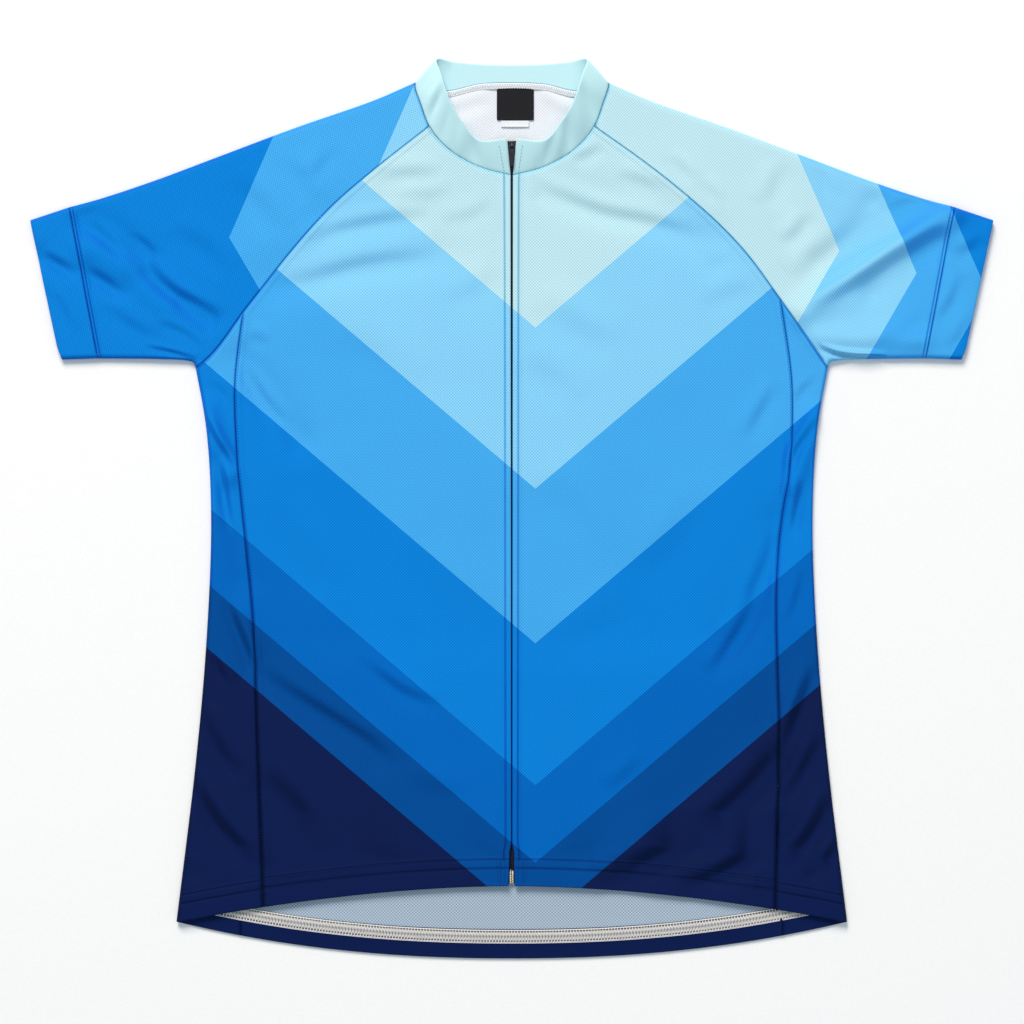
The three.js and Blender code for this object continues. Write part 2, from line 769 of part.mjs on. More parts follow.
// Pull tab: a tapered plate with an eye round the bridge, lying towards the hem
const pullLength = 17;
const pullHeadWidth = 5.2;
const pullTipWidth = 3.4;
const pullThickness = 1;
const pullEyeHalf = 1.15;
const pullEyeLength = 3.2;
const pullBar = 0.5;
const pullTilt = THREE.MathUtils.degToRad(4);

function pullTab() {
  const plate = new THREE.Shape([
    new THREE.Vector2(-pullHeadWidth / 2, pullBar),
    new THREE.Vector2(-pullHeadWidth / 2, -4),
    new THREE.Vector2(-pullTipWidth / 2, -pullLength + 1),
    new THREE.Vector2(-pullTipWidth / 4, -pullLength),
    new THREE.Vector2(pullTipWidth / 4, -pullLength),
    new THREE.Vector2(pullTipWidth / 2, -pullLength + 1),
    new THREE.Vector2(pullHeadWidth / 2, -4),
    new THREE.Vector2(pullHeadWidth / 2, pullBar),
  ]);
  plate.holes.push(new THREE.Path([
    new THREE.Vector2(-pullEyeHalf, -pullBar),
    new THREE.Vector2(pullEyeHalf, -pullBar),
    new THREE.Vector2(pullEyeHalf, -pullEyeLength),
    new THREE.Vector2(-pullEyeHalf, -pullEyeLength),
  ]));
  const geometry = new THREE.ExtrudeGeometry(plate, { depth: pullThickness, bevelEnabled: false });
  geometry.translate(0, 0, -pullThickness / 2);
  geometry.rotateX(pullTilt);
  const mesh = hardware('zip_pull', geometry, 0x1f2126, 0.45, 0.5);
  mesh.position.set(0, pivotY, pivotZ);
  return mesh;
}

// Bottom box of the zip
function zipBox() {
  const length = 12;
  const height = 1.8;
  const width = 4.2;
  const centreY = frontHemY + 8;
  const geometry = new THREE.BoxGeometry(width, length, height);
  const mesh = hardware('zip_box', geometry, 0x9a9488, 0.35, 0.9);
  const base = zipTapeUnderside(centreY) + clothThickness + layerGap;
  mesh.position.set(0, centreY, base + height / 2);
  return mesh;
}

const wasm = await Module();
wasm.setup();

const jersey = new THREE.Group();
jersey.add(
  backPanel(),
  frontPanel('front_right', frontSeams.right, colours.blue),
  frontPanel('front_left', frontSeams.left, colours.sky),
  sidePanel('side_right', frontSeams.right, colours.deep),
  sidePanel('side_left', frontSeams.left, colours.navy),
  sleeve('sleeve_right', frontSeams.right, colours.blue),
  sleeve('sleeve_left', frontSeams.left, colours.sky),
  sleeveBand('sleeve_band_right', frontSeams.right, colours.strong),
  sleeveBand('sleeve_band_left', frontSeams.left, colours.blue),
  collar(),
  pocketPanel(),
  zipTape('zip_tape_right', -1),
  zipTape('zip_tape_left', 1),
  slider(),
  pullTab(),
  zipBox(),
  label('neck_label', { x: 2.2, y: 344, width: 31.4, height: 27.6 }, 0x2b2b2e),
  label('care_label', { x: 2, y: 327, width: 23.8, height: 5.4 }, 0xf2f4f6),
);

export default jersey;
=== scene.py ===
import math

import bmesh
import bpy
import numpy as np
from mathutils import Matrix, Vector
from mathutils.bvhtree import BVHTree


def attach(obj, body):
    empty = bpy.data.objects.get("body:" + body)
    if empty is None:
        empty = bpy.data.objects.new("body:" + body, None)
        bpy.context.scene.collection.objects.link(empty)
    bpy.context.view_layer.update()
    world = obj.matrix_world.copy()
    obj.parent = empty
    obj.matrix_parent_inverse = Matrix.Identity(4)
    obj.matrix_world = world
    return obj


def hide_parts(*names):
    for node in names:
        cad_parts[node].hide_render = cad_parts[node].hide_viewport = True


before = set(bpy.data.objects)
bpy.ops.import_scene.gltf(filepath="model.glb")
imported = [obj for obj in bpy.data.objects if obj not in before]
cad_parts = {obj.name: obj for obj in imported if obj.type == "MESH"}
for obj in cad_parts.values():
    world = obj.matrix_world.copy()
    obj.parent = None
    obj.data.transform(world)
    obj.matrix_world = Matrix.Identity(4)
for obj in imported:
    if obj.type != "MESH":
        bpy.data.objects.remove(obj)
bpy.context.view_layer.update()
mm = 0.001
print("frame loaded:", len(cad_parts), "nodes")

# Left and right are the wearer's: the left sleeve lies on the +X side.
# Tables are in millimetres, as the pattern is. Every finished mesh is in metres.

# Camera straight above, with a long lens, framed as in the photo
shot = {"frameWidth": 870.4, "centre": (0.2, -2.6), "distance": 3000, "sensor": 36}


def makeCamera():
    camera = bpy.data.cameras.new("camera")
    camera.sensor_width = shot["sensor"]
    camera.lens = shot["sensor"] * shot["distance"] / shot["frameWidth"]
    holder = bpy.data.objects.new("camera", camera)
    holder.location = (shot["centre"][0] * mm, shot["centre"][1] * mm, shot["distance"] * mm)
    bpy.context.scene.collection.objects.link(holder)
    bpy.context.scene.camera = holder
    bpy.context.scene.view_settings.view_transform = "Standard"  # keeps the dyes as bright as they are


# Soft studio light: a broad key beyond the collar, a weak fill and a pale surround
studio = {
    "key": {"place": (-1.7, 6.6, 4.7), "size": 3.4, "power": 765, "colour": (1, 0.9, 0.835)},
    "fill": {"place": (0.6, -1.6, 3.0), "size": 2.6, "power": 14, "colour": (0.92, 0.97, 1)},
    "surround": 0.42,
    "surroundColour": (0.76, 0.915, 1),
    "floorColour": (0.97, 0.97, 0.97),
}


def makeStudio():
    for name in ("key", "fill"):
        lamp = studio[name]
        light = bpy.data.lights.new(name, "AREA")
        light.size = lamp["size"]
        light.energy = lamp["power"]
        light.color = lamp["colour"]
        holder = bpy.data.objects.new(name, light)
        holder.location = lamp["place"]
        holder.rotation_euler = (-Vector(lamp["place"])).to_track_quat("-Z", "Y").to_euler()
        bpy.context.scene.collection.objects.link(holder)
    world = bpy.data.worlds.new("surround")
    world.use_nodes = True
    world.node_tree.nodes["Background"].inputs["Color"].default_value = (*studio["surroundColour"], 1)
    world.node_tree.nodes["Background"].inputs["Strength"].default_value = studio["surround"]
    bpy.context.scene.world = world
    shape = bmesh.new()
    bmesh.ops.create_grid(shape, x_segments=1, y_segments=1, size=4)
    bmesh.ops.translate(shape, verts=shape.verts, vec=(0, 0, -0.4 * mm))
    floor = meshPiece("floor", shape)
    floor.data.materials.append(plainMaterial("floor", studio["floorColour"], 0.9))


# Pattern of the jersey: rows of (out from the centre line, height), as cut in the solids
body = {
    "clothThickness": 1.0,
    "layerGap": 0.3,
    "fullness": 2.4,
    "foldRoundness": 4.5,
    "hemCorner": (284.8, -350.8),
    "frontHemY": -320.0,
    "backHemY": -382.0,
    "frontHemCurve": 1.8,
    "backHemCurve": 2.2,
    "zipSlit": 0.32,
    "zipSlitOpen": 1.85,
    "zipSlitAtHem": 2.6,
    "zipSlitOpens": (-283.0, -292.0),
    "zipTapeWidth": 14.0,
    "seamGap": 0.04,
    "creaseStrength": 1.3,
}

# Collar, from the zip to the centre back: seam (out, y, layer) and top edge (out, y, z)
# The layer is 1 on the front, 0 on the shoulder fold and -1 on the back
collarSeamRows = [
    (1.0, 283.5, 1), (23.8, 289.2, 1), (45.5, 299.6, 1), (60.5, 312.0, 1), (70.0, 325.0, 1),
    (77.0, 343.0, 0.9), (81.7, 362.3, 0), (57.0, 355.2, -1), (27.0, 361.2, -1), (0.0, 362.4, -1),
]
collarTopRows = [
    (3.8, 313.3, 8.5), (28.2, 312.0, 10), (42.6, 328.2, 12.5), (51.4, 342.0, 14), (56.9, 356.0, 14),
    (60.6, 368.0, 12), (64.3, 381.6, 6), (50.0, 379.4, 0), (27.0, 377.2, 0), (0.0, 376.4, 0),
]
lastStation = 9
raglanStation = 4
shoulderStation = 6
backNeckStation = 7

shoulderFold = [
    (81.7, 362.3), (116.5, 347.2), (184.5, 323.4), (252.5, 297.9), (303.5, 278.8), (349.0, 263.6),
    (375.7, 256.3),
]
underarmFold = [(268.4, 120.0), (270.6, 124.4), (276.0, 126.0), (300.0, 127.2), (351.5, 127.8)]
bandEnd = [(408.9, 245.2), (383.6, 126.7)]
bodySide = [
    (268.4, 120.0), (259.3, 67.0), (255.4, -9.5), (259.3, -111.0), (268.2, -213.0), body["hemCorner"],
]


def hemY(out, centreY, curve):
    cornerOut, cornerY = body["hemCorner"]
    return centreY + (cornerY - centreY) * (np.abs(out) / cornerOut) ** curve


def frontHem(out):
    return hemY(out, body["frontHemY"], body["frontHemCurve"])


def backHem(out):
    return hemY(out, body["backHemY"], body["backHemCurve"])


backRaglan = [(57.0, 355.2), (118.0, 302.0), (178.0, 240.0), (228.0, 172.0)]
backUnderarmRaglan = [(228.0, 172.0), (247.0, 143.0), (268.4, 120.0)]
backSideSeam = [
    (228.0, 172.0), (234.0, 90.0), (228.0, -20.0), (228.0, -200.0), (230.0, backHem(230.0)),
]
sides = {
    "Right": {
        "sign": -1,
        "raglan": [(70.0, 325.0), (116.5, 288.4), (152.3, 257.5), (184.9, 221.7), (228.0, 167.2)],
        "underarmRaglan": [(228.0, 167.2), (248.8, 138.0), (259.4, 126.5), (268.4, 120.0)],
        "sideSeam": [
            (228.0, 167.2), (234.8, 110.0), (233.3, 50.0), (225.3, -35.0), (219.2, -95.0),
            (215.9, -186.0), (210.2, frontHem(210.2)),
        ],
    },
    "Left": {
        "sign": 1,
        "raglan": [
            (70.0, 325.0), (107.2, 298.7), (135.7, 276.8), (173.6, 244.1), (199.7, 216.4), (228.0, 178.0),
        ],
        "underarmRaglan": [(228.0, 178.0), (245.0, 153.5), (258.5, 134.0), (268.4, 120.0)],
        "sideSeam": [
            (228.0, 178.0), (237.6, 109.0), (236.4, 40.0), (228.6, -13.0), (224.5, -68.0),
            (226.5, -198.0), (223.1, frontHem(223.1)),
        ],
    },
}

# Rear pockets, under the back
pockets = {
    "halfWidth": 184.0,
    "mouthY": -186.0,
    "aboveHem": 24.0,
    "beside": (6.0, 36.0),
    "above": (42.0, 40.0),
    "below": (2.5, 20.0),
}

# Large folds, as in the solids: (x, y, to x, to y, half width, rise)
mainFolds = [
    (-362, 246, -314, 218, 13, -2.2), (-306, 199, -258, 164, 13, -2.2), (-352, 222, -290, 178, 14, 1.8),
    (-400, 214, -330, 188, 10, -1.6), (372, 250, 248, 168, 13, 4), (362, 226, 306, 184, 12, -2.4),
    (307, 258, 258, 214, 12, -2), (346, 144, 262, 146, 10, 2.4), (-230, 128, -180, 58, 14, -2),
    (-258, 82, -240, 30, 10, 2.6), (258, 78, 238, 22, 10, 2.6), (228, -12, 184, -110, 16, -2),
    (-244, 40, -226, -58, 13, -2), (-198, 196, -66, 217, 20, -1.6), (-152, 244, -72, 252, 16, -1.2),
    (10, 284, 168, 228, 20, -1.6), (-212, -136, -112, -210, 18, -1.6), (222, -220, 142, -262, 18, -1.6),
]

# Finer creases, each along the line where the cloth falls most steeply, with its ridge on the side
# nearer the collar: (points from -X to +X, half width, rise)
fineCreases = [
    # right sleeve
    ([(-361, 246), (-344, 232), (-326, 215)], 4.5, 0.85), ([(-311, 210), (-288, 188), (-246, 162)], 5.5, 1.5),
    ([(-360, 205), (-343, 194), (-326, 181)], 4.5, 0.7), ([(-398, 218), (-384, 210), (-369, 200)], 4, 0.8),
    ([(-322, 236), (-311, 227), (-300, 216)], 3, 0.45), ([(-300, 160), (-276, 150), (-262, 138)], 3.5, 0.5),
    ([(-345, 176), (-325, 160), (-300, 146)], 6, 0.5), ([(-290, 240), (-262, 226), (-240, 200)], 9, 0.6),
    ([(-152, 309), (-163, 293), (-172, 280)][::-1], 6, 0.35),
    ([(-236, 284), (-212, 262), (-196, 236)], 9, 0.5),
    ([(-192, 300), (-178, 284), (-170, 262)], 7, 0.35), ([(-392, 190), (-380, 172), (-372, 150)], 5, 0.45),
    ([(-312, 139), (-288, 134), (-266, 128)], 2, 0.6),
    # left sleeve
    ([(251, 170), (288, 192), (322, 215), (366, 243)], 6, 1.3),
    ([(236, 196), (269, 221), (308, 253)], 9, 1.1),
    ([(228, 226), (241, 237), (250, 252)], 6, 0.7), ([(155, 279), (147, 289), (134, 301)][::-1], 5, 0.35),
    ([(162, 280), (170, 270), (176, 262)], 5, 0.3), ([(214, 258), (221, 276), (227, 294)], 7, 0.6),
    ([(268, 289), (271, 276), (276, 266)], 5, 0.35), ([(261, 137.5), (280, 131.8), (318, 129.6)], 1.6, 2.2),
    ([(300, 246), (336, 262), (362, 262)], 4, 0.3), ([(371, 216), (386, 222), (401, 232)], 6, 0.7),
    ([(360, 160), (372, 178), (380, 200)], 5, 0.6), ([(368, 136), (380, 150), (388, 168)], 5, 0.45),
    ([(300, 146), (326, 150), (350, 166)], 7, 0.45), ([(318, 176), (330, 190), (338, 206)], 8, 0.4),
    # neck and chest
    ([(-115, 284), (-84, 286.5), (-60, 285.5)], 6.5, 0.6),
    ([(-178, 223), (-160, 235), (-120, 245), (-70, 252)], 6.5, 0.85),
    ([(-208, 192), (-180, 196), (-128, 209.5), (-62, 218)], 8, 0.95),
    ([(-96, 268), (-70, 268), (-50, 272)], 6, 0.3),
    ([(-60, 178), (-30, 190), (-12, 206)], 9, 0.35), ([(-62, 246), (-38, 250), (-16, 262)], 6, 0.35),
    ([(8, 280), (33, 271), (80, 253.5), (109, 248), (160, 235)], 6.5, 1.0),
    ([(89, 286), (110, 280), (130, 271)], 6, 0.5),
    ([(51, 297), (65, 303), (77, 310)], 4.5, 0.6), ([(22, 178), (62, 154), (89, 138)], 12, 0.6),
    ([(12, 130), (38, 112), (52, 90)], 11, 0.45), ([(162, 209), (174, 211), (184, 208)], 8, 0.4),
    ([(160, 176), (186, 186), (206, 192)], 8, 0.35), ([(-150, 150), (-110, 132), (-84, 104)], 14, 0.45),
    # under the arms
    ([(-227, 121), (-210, 97), (-190, 72)], 4.5, 0.9), ([(-223, 149), (-214, 146), (-205, 142)], 4, 0.5),
    ([(-222, 104), (-208, 78), (-196, 50)], 5, 0.4),
    ([(-258, 77), (-250, 60), (-240, 44), (-234, 31)], 2.8, 1.2),
    ([(-247, 47), (-243, 24), (-240, 2), (-236, -20)], 4, 0.9),
    ([(-256, 110), (-246, 102), (-238, 92)], 3, 0.5),
    ([(234, 30), (240, 50), (250, 66), (258, 78)], 3.4, 1.1), ([(236, -24), (240, 0), (245, 26)], 4, 0.8),
    ([(196, 60), (210, 84), (224, 108)], 6, 0.7), ([(238, 92), (248, 104), (258, 112)], 3, 0.5),
    # waist
    ([(184, -110), (205, -66), (226, -14)], 7, 0.9), ([(-196, 10), (-180, -30), (-150, -66)], 14, 0.55),
    ([(96, -60), (130, -30), (160, 20)], 14, 0.5), ([(-80, -30), (-50, -70), (-20, -90)], 15, 0.4),
    ([(20, 30), (56, 4), (76, -40)], 14, 0.4), ([(30, -110), (70, -96), (104, -70)], 13, 0.35),
    # lower body
    ([(-214, -135), (-188, -153), (-137, -185), (-118, -197), (-100, -216)], 7, 1.35),
    ([(-128, -125), (-109, -140), (-93, -152), (-60, -166)], 5.5, 0.95),
    ([(-90, -226), (-60, -236), (-34, -240)], 9, 0.45),
    ([(163, -139), (174, -127), (202, -89), (211, -76)], 6, 1.2),
    ([(70, -312), (104, -299), (157, -270), (204, -230), (232, -194)], 11, 3.0),
    ([(140, -316), (180, -303), (208, -282), (232, -250)], 8, 2.3),
    ([(75, -236), (90, -229), (112, -208)], 7, 0.6),
    ([(40, -286), (70, -280), (96, -262)], 9, 0.45), ([(-159, -266), (-115, -288), (-84, -298)], 8, 0.6),
    ([(-212, -218), (-184, -246), (-152, -290)], 10, 1.5), ([(-50, -268), (-30, -280), (-14, -300)], 8, 0.35),
    # sides
    ([(-241, -77), (-226, -112), (-217, -139)], 4.5, 1.2),
    ([(-252, -124), (-246, -136), (-239, -148)], 3.6, 0.9),
    ([(-270, -226), (-249, -262), (-228, -285), (-206, -302)], 7, 1.9),
    ([(-278, -297), (-270, -303), (-260, -308)], 4, 1.2),
    ([(-262, -166), (-248, -198), (-228, -226)], 7, 1.2), ([(228, -204), (240, -172), (256, -130)], 6.5, 1.6),
    ([(226, -298), (246, -281), (270, -240)], 6.5, 1.9), ([(246, -310), (262, -300), (276, -280)], 4.5, 1.5),
    ([(226, -250), (242, -226), (262, -188)], 6.5, 1.5), ([(232, -96), (240, -76), (246, -50)], 4.5, 0.5),
]


def lerp(start, end, share):
    return start + (end - start) * share


def smooth(low, high, value):
    share = np.clip((value - low) / (high - low), 0, 1)
    return share * share * (3 - 2 * share)


def curveThrough(rows, steps=24):
    points = np.array(rows, float)
    padded = np.vstack([2 * points[0] - points[1], points, 2 * points[-1] - points[-2]])
    share = np.linspace(0, 1, steps, endpoint=False)[:, None]
    runs = []
    for a, b, c, d in zip(padded, padded[1:], padded[2:], padded[3:]):
        before, here, after = (np.linalg.norm(q - p) ** 0.5 for p, q in ((a, b), (b, c), (c, d)))
        leave = ((b - a) / before - (c - a) / (before + here) + (c - b) / here) * here
        arrive = ((c - b) / here - (d - b) / (here + after) + (d - c) / after) * here
        runs.append(b + leave * share + (3 * (c - b) - 2 * leave - arrive) * share**2
                    + (2 * (b - c) + leave + arrive) * share**3)
    return np.vstack([*runs, points[-1:]])


def lineAlong(rows):
    points = curveThrough(rows)
    steps = np.linalg.norm(np.diff(points, axis=0), axis=1)
    share = np.concatenate([[0], np.cumsum(steps)]) / steps.sum()
    return lambda v: np.stack([np.interp(v, share, column) for column in points.T], -1)


def lineByStation(rows):
    points = curveThrough(rows)
    place = np.linspace(0, lastStation, len(points))
    return lambda station: np.stack([np.interp(station, place, column) for column in points.T], -1)


def straight(start, end):
    return lambda v: lerp(np.array(start, float), np.array(end, float), np.asarray(v, float)[..., None])


neckSeam = lineByStation(collarSeamRows)
collarTop = lineByStation(collarTopRows)


def neckPoint(station):
    return neckSeam(station)[..., :2]


# A four-sided piece of the pattern between two edges along u and two along v
def patch(atU0, atU1, atV0, atV1):
    zero, one = np.array(0.0), np.array(1.0)
    low, high = (atU0(zero), atU0(one)), (atU1(zero), atU1(one))

    def surface(u, v):
        s, t = u[..., None], v[..., None]
        ruled = lerp(atU0(v), atU1(v), s) + lerp(atV0(u), atV1(u), t)
        return ruled - lerp(lerp(low[0], low[1], t), lerp(high[0], high[1], t), s)

    return surface


# Point of a patch at a share u across it and a distance from its v = 1 edge (a share where below 0),
# with the distances to its four edges
def patchPoint(surface, u, v, fromHem, gaps):
    spanU = np.linalg.norm(surface(0 * u, v) - surface(0 * u + 1, v), axis=-1)
    spanV = np.linalg.norm(surface(u, 0 * v) - surface(u, 0 * v + 1), axis=-1)
    v = np.where(fromHem >= 0, 1 - fromHem / spanV, v)
    insetU = u + ((1 - u) * gaps[0] - u * gaps[1]) / spanU
    insetV = v + ((1 - v) * gaps[2] - v * gaps[3]) / spanV
    return surface(insetU, insetV), (u * spanU, (1 - u) * spanU, v * spanV, (1 - v) * spanV)


# Round swells: (x, y, to x, to y, sideways bend, half width, rise)
def swellRise(rows, x, y):
    total = np.zeros_like(x)
    for fromX, fromY, toX, toY, bend, width, rise in rows:
        alongX, alongY = toX - fromX, toY - fromY
        length = math.hypot(alongX, alongY)
        share = ((x - fromX) * alongX + (y - fromY) * alongY) / length**2
        onLine = np.clip(share, 0, 1)
        aside = ((y - fromY) * alongX - (x - fromX) * alongY) / length - bend * 4 * onLine * (1 - onLine)
        past = (share - onLine) * length
        total += rise * np.exp(-(aside**2 + past**2) / width**2)
    return total


# A ridge and a trough side by side, which fade out at both ends
def creaseRise(rows, x, y):
    total = np.zeros_like(x)
    for line, width, rise in rows:
        points = curveThrough(line, 8)
        low, high = points.min(axis=0) - 4 * width, points.max(axis=0) + 4 * width
        near = (x > low[0]) & (x < high[0]) & (y > low[1]) & (y < high[1])
        if not near.any():
            continue
        spot = np.stack([x[near], y[near]], -1)
        steps = np.diff(points, axis=0)
        lengths = np.linalg.norm(steps, axis=1)
        reached = np.concatenate([[0], np.cumsum(lengths)]) / lengths.sum()
        nearest = np.full(len(spot), np.inf)
        aside, share = np.zeros(len(spot)), np.zeros(len(spot))
        for start, step, length, low, high in zip(points, steps, lengths, reached, reached[1:]):
            along = np.clip(((spot - start) @ step) / length**2, 0, 1)
            away = spot - start - along[:, None] * step
            distance = np.linalg.norm(away, axis=1)
            closer = distance < nearest
            nearest = np.where(closer, distance, nearest)
            aside = np.where(closer, (away[:, 1] * step[0] - away[:, 0] * step[1]) / length, aside)
            share = np.where(closer, lerp(low, high, along), share)
        wave = aside / width * np.exp(0.5 - 0.5 * (aside / width) ** 2)
        past = np.maximum(0, nearest - np.abs(aside))
        fade = np.maximum(0, np.sin(np.pi * share)) ** 0.7 * np.exp(-((past / width) ** 2))
        total[near] += rise * wave * fade
    return total


plainMainFolds = [(*row[:4], 0, *row[4:]) for row in mainFolds]


# Slow unevenness of cloth that has been laid down by hand
def unevenness(x, y):
    slow = 0.3 * np.sin(x / 47 + 1.3) * np.sin(y / 61 + 0.4)
    cross = 0.2 * np.sin((x + 1.3 * y) / 39) * np.sin((x - 0.8 * y) / 52 + 1)
    return slow + cross + 0.06 * np.sin((1.2 * x - y) / 17 + 2) * np.sin((x + y) / 23)


def rampDown(past, raiseRow):
    margin, ramp = raiseRow
    return 1 - smooth(margin, margin + ramp, past)


def pocketRise(x, y):
    footY = backHem(x) + pockets["aboveHem"]
    beside = rampDown(np.abs(x) - pockets["halfWidth"], pockets["beside"])
    above = rampDown(y - pockets["mouthY"], pockets["above"])
    below = rampDown(footY - y, pockets["below"])
    return (body["clothThickness"] + body["layerGap"]) * beside * above * below


def tapeRise(x):
    width = body["zipTapeWidth"]
    return (body["clothThickness"] + body["layerGap"]) * (1 - smooth(width + 1, width + 16, np.abs(x)))


def upperTop(x, y):
    folds = swellRise(plainMainFolds, x, y) + body["creaseStrength"] * creaseRise(fineCreases, x, y)
    soft = np.maximum(0, body["fullness"] + folds + unevenness(x, y) - tapeRise(x))
    return pocketRise(x, y) + 2 * body["clothThickness"] + body["layerGap"] + tapeRise(x) + soft


# Shallow rises of the lower layer off the surface: (x, y, to x, to y, sideways bend, half width, rise)
backCreases = [
    (-190, 250, -80, 200, 10, 12, 1.1), (170, 262, 70, 226, -8, 12, 1.0), (-210, 120, -120, 60, 9, 12, 1.2),
    (215, 96, 130, 30, -9, 12, 1.1), (-60, 150, 20, 60, 8, 16, 0.8), (90, 130, 40, 30, 6, 15, 0.8),
    (-200, -40, -140, -110, 6, 13, 1.0), (205, -50, 150, -120, -6, 13, 1.0), (-90, 300, -30, 326, 6, 9, 0.7),
    (-350, 236, -290, 180, 6, 11, 1.1), (352, 228, 286, 170, -6, 11, 1.2), (-300, 262, -250, 210, 5, 10, 0.9),
    (306, 252, 250, 204, -5, 10, 0.9), (-262, 60, -236, 0, 4, 9, 0.8), (262, 50, 238, -20, -4, 9, 0.8),
    (-66, 336, -26, 352, 2, 7, 1.3), (30, 352, 60, 340, -2, 6, 1.2), (-50, 322, -24, 336, 3, 7, 0.8),
    (-100, 20, -30, -60, 8, 18, 0.7), (120, -30, 60, -110, 8, 18, 0.7), (-246, -190, -236, -260, 2, 9, 0.7),
]


def lowerLift(x, y):
    onPockets = pocketRise(x, y) / (body["clothThickness"] + body["layerGap"])
    return np.clip(swellRise(backCreases, x, y), 0, 1.3) * (1 - onPockets)


# How deep a point lies in a line drawn in by thread, from 0 to 1; also the strength of the painted shade
# along seams, hems and stitch lines
def drawn(distance, half):
    return np.exp(-((distance / half) ** 2))


# Groove of a seam, the step of its allowance beside it, and its small puckers
def seamRelief(distance, along, allowance):
    groove = -0.55 * drawn(distance, 1.0)
    step = allowance * (1 - smooth(4.5, 7.5, distance))
    pucker = 0.13 * np.sin(along / 1.35 + 2 * np.sin(along / 23)) * np.exp(-((distance / 6) ** 2))
    return groove + step + pucker


def foldOpening(away):
    share = np.clip(away / body["foldRoundness"], 0, 1)
    return np.sqrt(1 - (1 - share) ** 2)


# Shares across a span, given in mm near the 0 edge and spread over the rest beyond that
def shareFrom(span, near, reach, rest):
    return np.where(near >= 0, near / span, lerp(reach / span, 1, rest))


def nearThenRest(near, rest):
    return np.concatenate([near, np.full(len(rest), -1.0)]), np.concatenate([0 * np.array(near), rest])


# Steps from 0 to 1 that crowd towards both ends, or towards the end only
def crowdBoth(count, power=1.4):
    steps = np.linspace(0, 1, count + 1)
    return np.where(steps < 0.5, 0.5 * (2 * steps) ** power, 1 - 0.5 * (2 - 2 * steps) ** power)


def crowdEnd(count, power=1.5):
    return 1 - (1 - np.linspace(0, 1, count + 1)) ** power


# Rows down a panel to its turned-up hem: share down the panel, distance from the hem or -1, and drop inside
def hemRows(count, turnUp, dropIn):
    radius = dropIn / 2
    shares = np.linspace(0, 0.9, count, endpoint=False)
    near = np.array([
        40, 36, 32, 29, 27, 25.6, 24.8, 24.2, 23.7, 23.2, 22.7, 22.2, 21.4, 19.8, 18, 16.6, 15.9, 15.4, 14.9,
        14.4, 13.8, 12.4, 10, 7.5, 5, 3, 1.8,
    ])
    turn = np.linspace(0, np.pi, 9)
    inside = np.linspace(2, turnUp, 9)
    fromHem = np.concatenate([near, radius * (1 - np.sin(turn)), inside])
    drop = np.concatenate([0 * near, radius * (1 - np.cos(turn)), 0 * inside + dropIn])
    return (
        np.concatenate([shares, np.full(len(fromHem), 0.95)]),
        np.concatenate([np.full(count, -1.0), fromHem]),
        np.concatenate([np.zeros(count), drop]),
    )


# Mesh helpers
def meshPiece(name, shape):
    mesh = bpy.data.meshes.new(name)
    shape.to_mesh(mesh)
    shape.free()
    piece = bpy.data.objects.new(name, mesh)
    bpy.context.scene.collection.objects.link(piece)
    return piece


# A grid of cloth: place(column, row) gives points in mm and the cloth's own flat coordinates in mm
def clothGrid(name, columns, rows, place, outward, weld=False):
    shape = bmesh.new()
    bmesh.ops.create_grid(shape, x_segments=columns - 1, y_segments=rows - 1, size=0.5)
    piece = meshPiece(name, shape)
    mesh = piece.data
    flat = np.empty(len(mesh.vertices) * 3, np.float32)
    mesh.vertices.foreach_get("co", flat)
    flat = flat.reshape(-1, 3)
    column = np.rint((flat[:, 0] + 0.5) * (columns - 1)).astype(int)
    row = np.rint((flat[:, 1] + 0.5) * (rows - 1)).astype(int)
    points, onCloth, *seam = place(column, row)
    mesh.vertices.foreach_set("co", (points * mm).astype(np.float32).ravel())
    # painted shade along seams, hems and stitch lines, kept in the "seam" attribute
    if seam:
        paintedSeamShade = mesh.attributes.new("seam", "FLOAT", "POINT")
        paintedSeamShade.data.foreach_set("value", np.clip(seam[0], 0, 1).astype(np.float32))
    corner = np.empty(len(mesh.loops), np.int32)
    mesh.loops.foreach_get("vertex_index", corner)
    layer = mesh.uv_layers.new(name="cloth")
    layer.data.foreach_set("uv", (onCloth[corner] * mm).astype(np.float32).ravel())
    mesh.update()
    turnOutward(mesh, outward)
    if weld:
        shape = bmesh.new()
        shape.from_mesh(mesh)
        bmesh.ops.remove_doubles(shape, verts=shape.verts, dist=0.01 * mm)
        shape.to_mesh(mesh)
        shape.free()
    mesh.polygons.foreach_set("use_smooth", np.ones(len(mesh.polygons), bool))
    return piece


def turnOutward(mesh, outward):
    count = len(mesh.polygons)
    normals, centres, areas = np.empty(count * 3), np.empty(count * 3), np.empty(count)
    mesh.polygons.foreach_get("normal", normals)
    mesh.polygons.foreach_get("center", centres)
    mesh.polygons.foreach_get("area", areas)
    normals, centres = normals.reshape(-1, 3), centres.reshape(-1, 3)
    facing = {
        "up": (normals[:, 2] * areas).sum(),
        "down": -(normals[:, 2] * areas).sum(),
        "around": (normals[:, 2] * (centres[:, 2] - centres[:, 2].mean()) * areas).sum(),
    }[outward]
    if facing < 0:
        mesh.flip_normals()


def thickenCloth(piece, thickness, outside, inside):
    piece.data.materials.append(outside)
    piece.data.materials.append(inside)
    wall = piece.modifiers.new("wall", "SOLIDIFY")
    wall.thickness = thickness * mm
    wall.offset = -1
    wall.material_offset = 1


def settle(piece, node, bodyName="garment"):
    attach(piece, bodyName)
    if node:
        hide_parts(node)
    return piece


